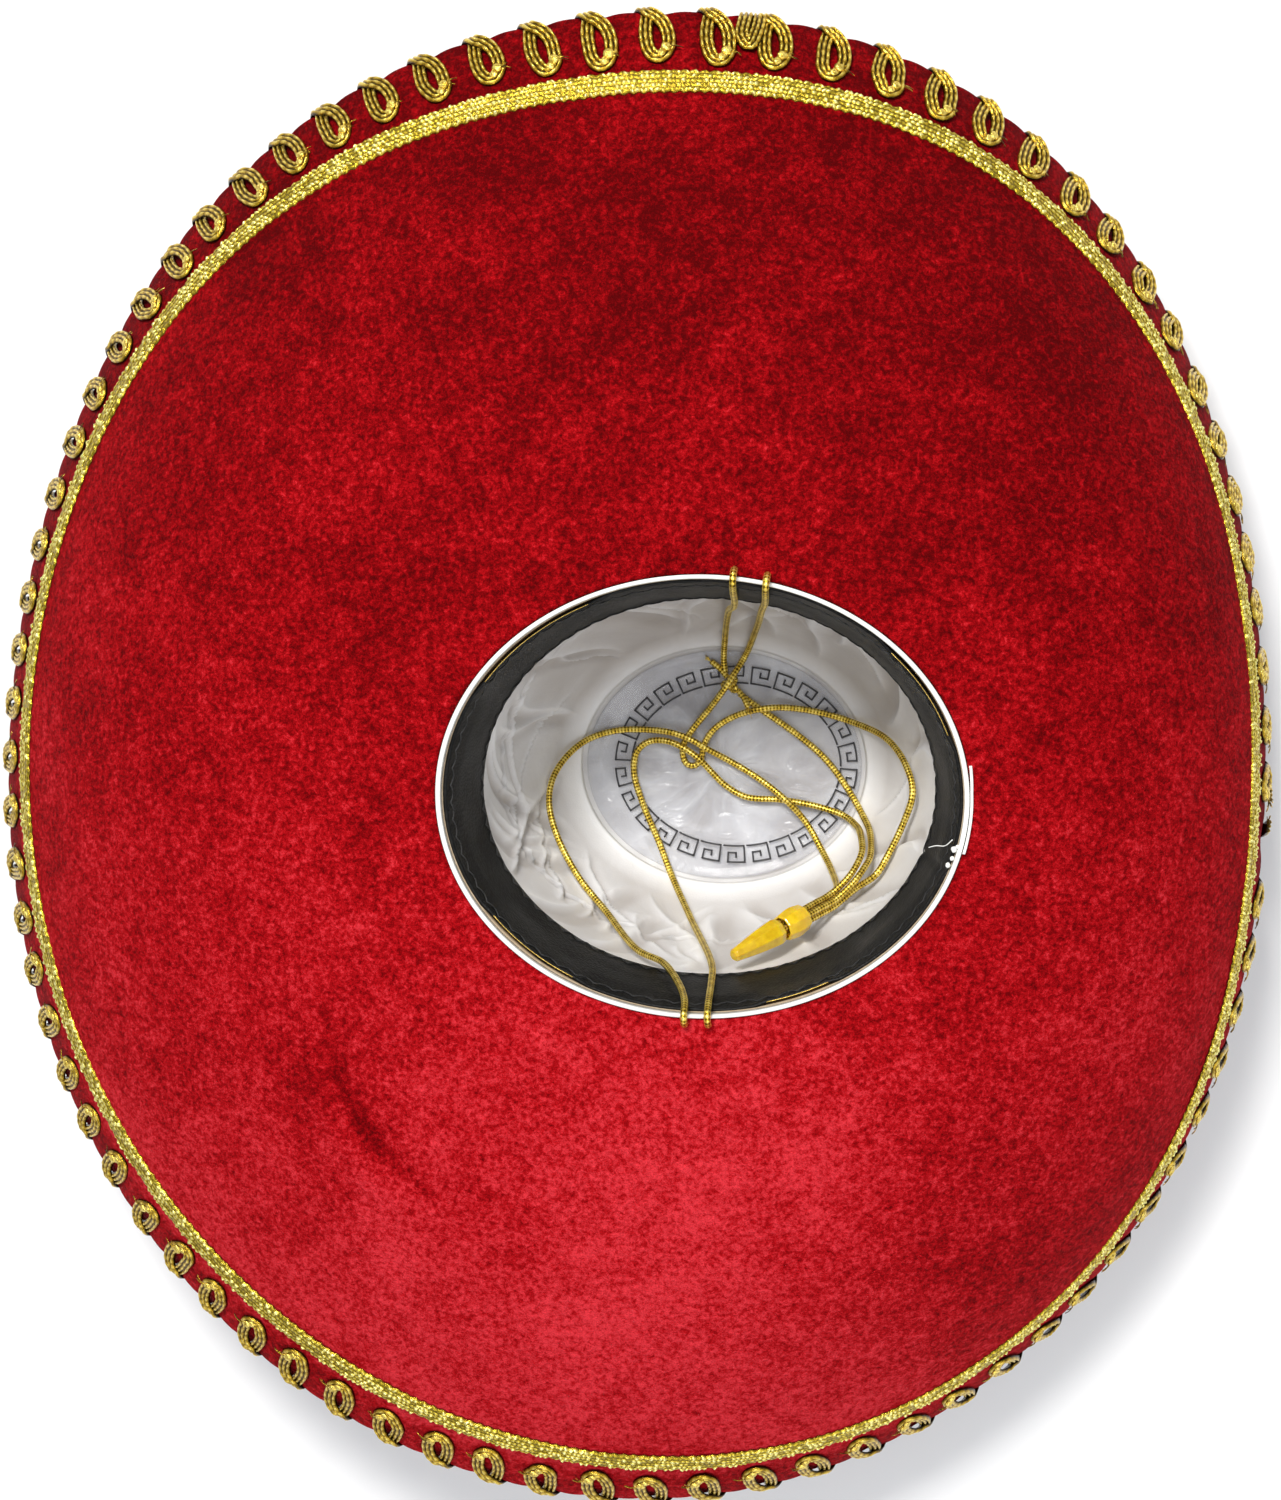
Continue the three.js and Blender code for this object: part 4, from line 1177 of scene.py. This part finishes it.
def add_patch():
    columns, rows = 240, 40
    profile = smooth_profile(PATCH_FACE, rows)
    radius = profile[:, :1]
    u, v = shares(profile[:, 0] / 54, columns)
    wave = 0.35 * (lattice(u, v, 9, 2) - 0.5) * np.clip(radius / 10, 0, 1)
    top = lathed(profile[::-1], columns)
    top[..., 2] += 0.15 + 0.35 * np.clip((54 - radius[::-1]) / 10, 0, 1) + wave[::-1]
    bottom = lathed(profile, columns)
    bottom[..., 2] += 0.15 + wave
    patch = dish("tip_patch_clear", np.concatenate([top, bottom]), CLEAR)
    finished(patch, "hat", "clear_plastic", "tip_patch")
    add_key_ring()


def add_key_ring():
    """A plain Greek key ring printed on the patch."""
    units, tall, width = 26, 7.0, 0.72
    key = [(0, 0), (0.86, 0), (0.86, 0.98), (0.2, 0.98), (0.2, 0.42), (0.52, 0.42), (0.52, 0.68)]
    semi_x, semi_y, off_centre = 47.5, 38.0, 5
    t = np.linspace(0, TAU, 2001)
    lengths = lengths_along(np.stack([semi_x * np.cos(t), semi_y * np.sin(t)], 1))
    pitch = lengths[-1] / units

    def spot(along, out):
        angle = np.interp(np.mod(along, lengths[-1]), lengths, t)
        nx, ny = semi_y * np.cos(angle), semi_x * np.sin(angle)
        size = np.hypot(nx, ny)
        return off_centre + semi_x * np.cos(angle) + nx / size * out, semi_y * np.sin(angle) + ny / size * out

    def bar(start, end):
        """A printed bar from one (along, out) to another, half its width longer at both ends."""
        grow = (end - start) / math.hypot(*(end - start)) * width / 2
        along, out = np.linspace(start - grow, end + grow, 6).T
        sides = []
        for side, rise in ((-1, 0.74), (1, 0.74), (1, 0.82), (-1, 0.82)):
            x, y = spot(along + side * grow[1], out - side * grow[0])
            sides.append(np.stack([x, y, patch_height(x, y) + rise], 1))
        return rod(np.stack(sides, 1))

    parts = []
    for index in range(units):
        corners = [np.array([(index + u) * pitch, (v - 0.5) * tall]) for u, v in key]
        parts += [bar(start, end) for start, end in zip(corners, corners[1:])]
    finished(add_parts("tip_patch_key_ring", parts, INK), "hat", "clear_plastic")


# Bearing in degrees, radius, height and size.
GLUE_BLOBS = ((-13, 88.6, 1.6, 1.1), (-15.5, 88.9, 1.2, 0.8), (-17.5, 88.4, 0.6, 0.9), (-12, 89.4, 3.6, 0.7))


def add_glue():
    """Small dried blobs and a loose thread where the strip and the band meet at the back."""
    parts = []
    for bearing, radius, height, size in GLUE_BLOBS:
        ball = size * lump(6, 10, 0.3, 1, 0.3) * (1, 1, 0.7)
        parts.append(rod(oval(radius, math.radians(bearing), height) + ball))
    thread = [(93.5, -14.5, 1.8), (90.8, -17.2, -1.5), (87.6, -17.6, -4.5), (84.9, -18.6, -7)]
    parts.append(hair(smooth_route(thread, 0.5), corners=6, depth=0.1))
    finished(add_parts("head_strip_glue", parts, GLUE), "hat", "white_plastic")


# ---- floor and light
def add_stage():
    size = 6.0
    mesh = bpy.data.meshes.new("floor")
    corners = [(-size, -size, 0), (size, -size, 0), (size, size, 0), (-size, size, 0)]
    mesh.from_pydata(corners, [], [(0, 1, 2, 3)])
    floor = linked("floor", mesh)
    floor.location.z = -0.0005
    n = Nodes("pale_floor")
    n.set(Base_Color=n.ramp(n.noise(3, 2), (0.3, 0.84), (0.7, 0.87)), Roughness=0.8)
    mesh.materials.append(n.material)


def add_light(name, position, target, size, power, colour=(1, 1, 1)):
    data = bpy.data.lights.new(name, "AREA")
    data.shape = "RECTANGLE"
    data.size, data.size_y = size
    data.energy = power
    data.color = colour
    light = linked(name, data)
    light.location = position
    light.rotation_euler = (Vector(target) - Vector(position)).to_track_quat("-Z", "Y").to_euler()


def add_lighting():
    world = bpy.data.worlds.new("studio")
    world.use_nodes = True
    background = world.node_tree.nodes["Background"]
    background.inputs["Color"].default_value = (0.92, 0.95, 1.0, 1)
    background.inputs["Strength"].default_value = 0.5
    bpy.context.scene.world = world
    add_light("key", (-0.2, 0.85, 1.45), (0.0, 0, 0.05), (0.5, 0.4), 28, (1.0, 0.98, 0.95))
    add_light("fill", (0.6, -1.2, 1.3), (0, 0, 0.1), (1.0, 1.0), 10, (0.95, 0.97, 1.0))
    add_light("ring", (0.2, -0.5, 1.5), (0.03, 0, 0.05), (0.5, 0.5), 3)


# ---- the whole scene
add_camera()
add_chin_cord()
add_brim()
braid_ring("under_brim_braid_grains", "under_brim_braid", 1, 2.0, 5)
braid_ring("upper_brim_braid_grains", "upper_brim_braid", -1, 2.2, 3)
add_loops()
add_crown()
add_scrolls()
add_strip()
add_sweatband()
add_lining_side()
add_lining_tip()
add_patch()
add_glue()
add_stage()
add_lighting()
bpy.context.scene.view_settings.view_transform = "Standard"

bpy.context.view_layer.update()
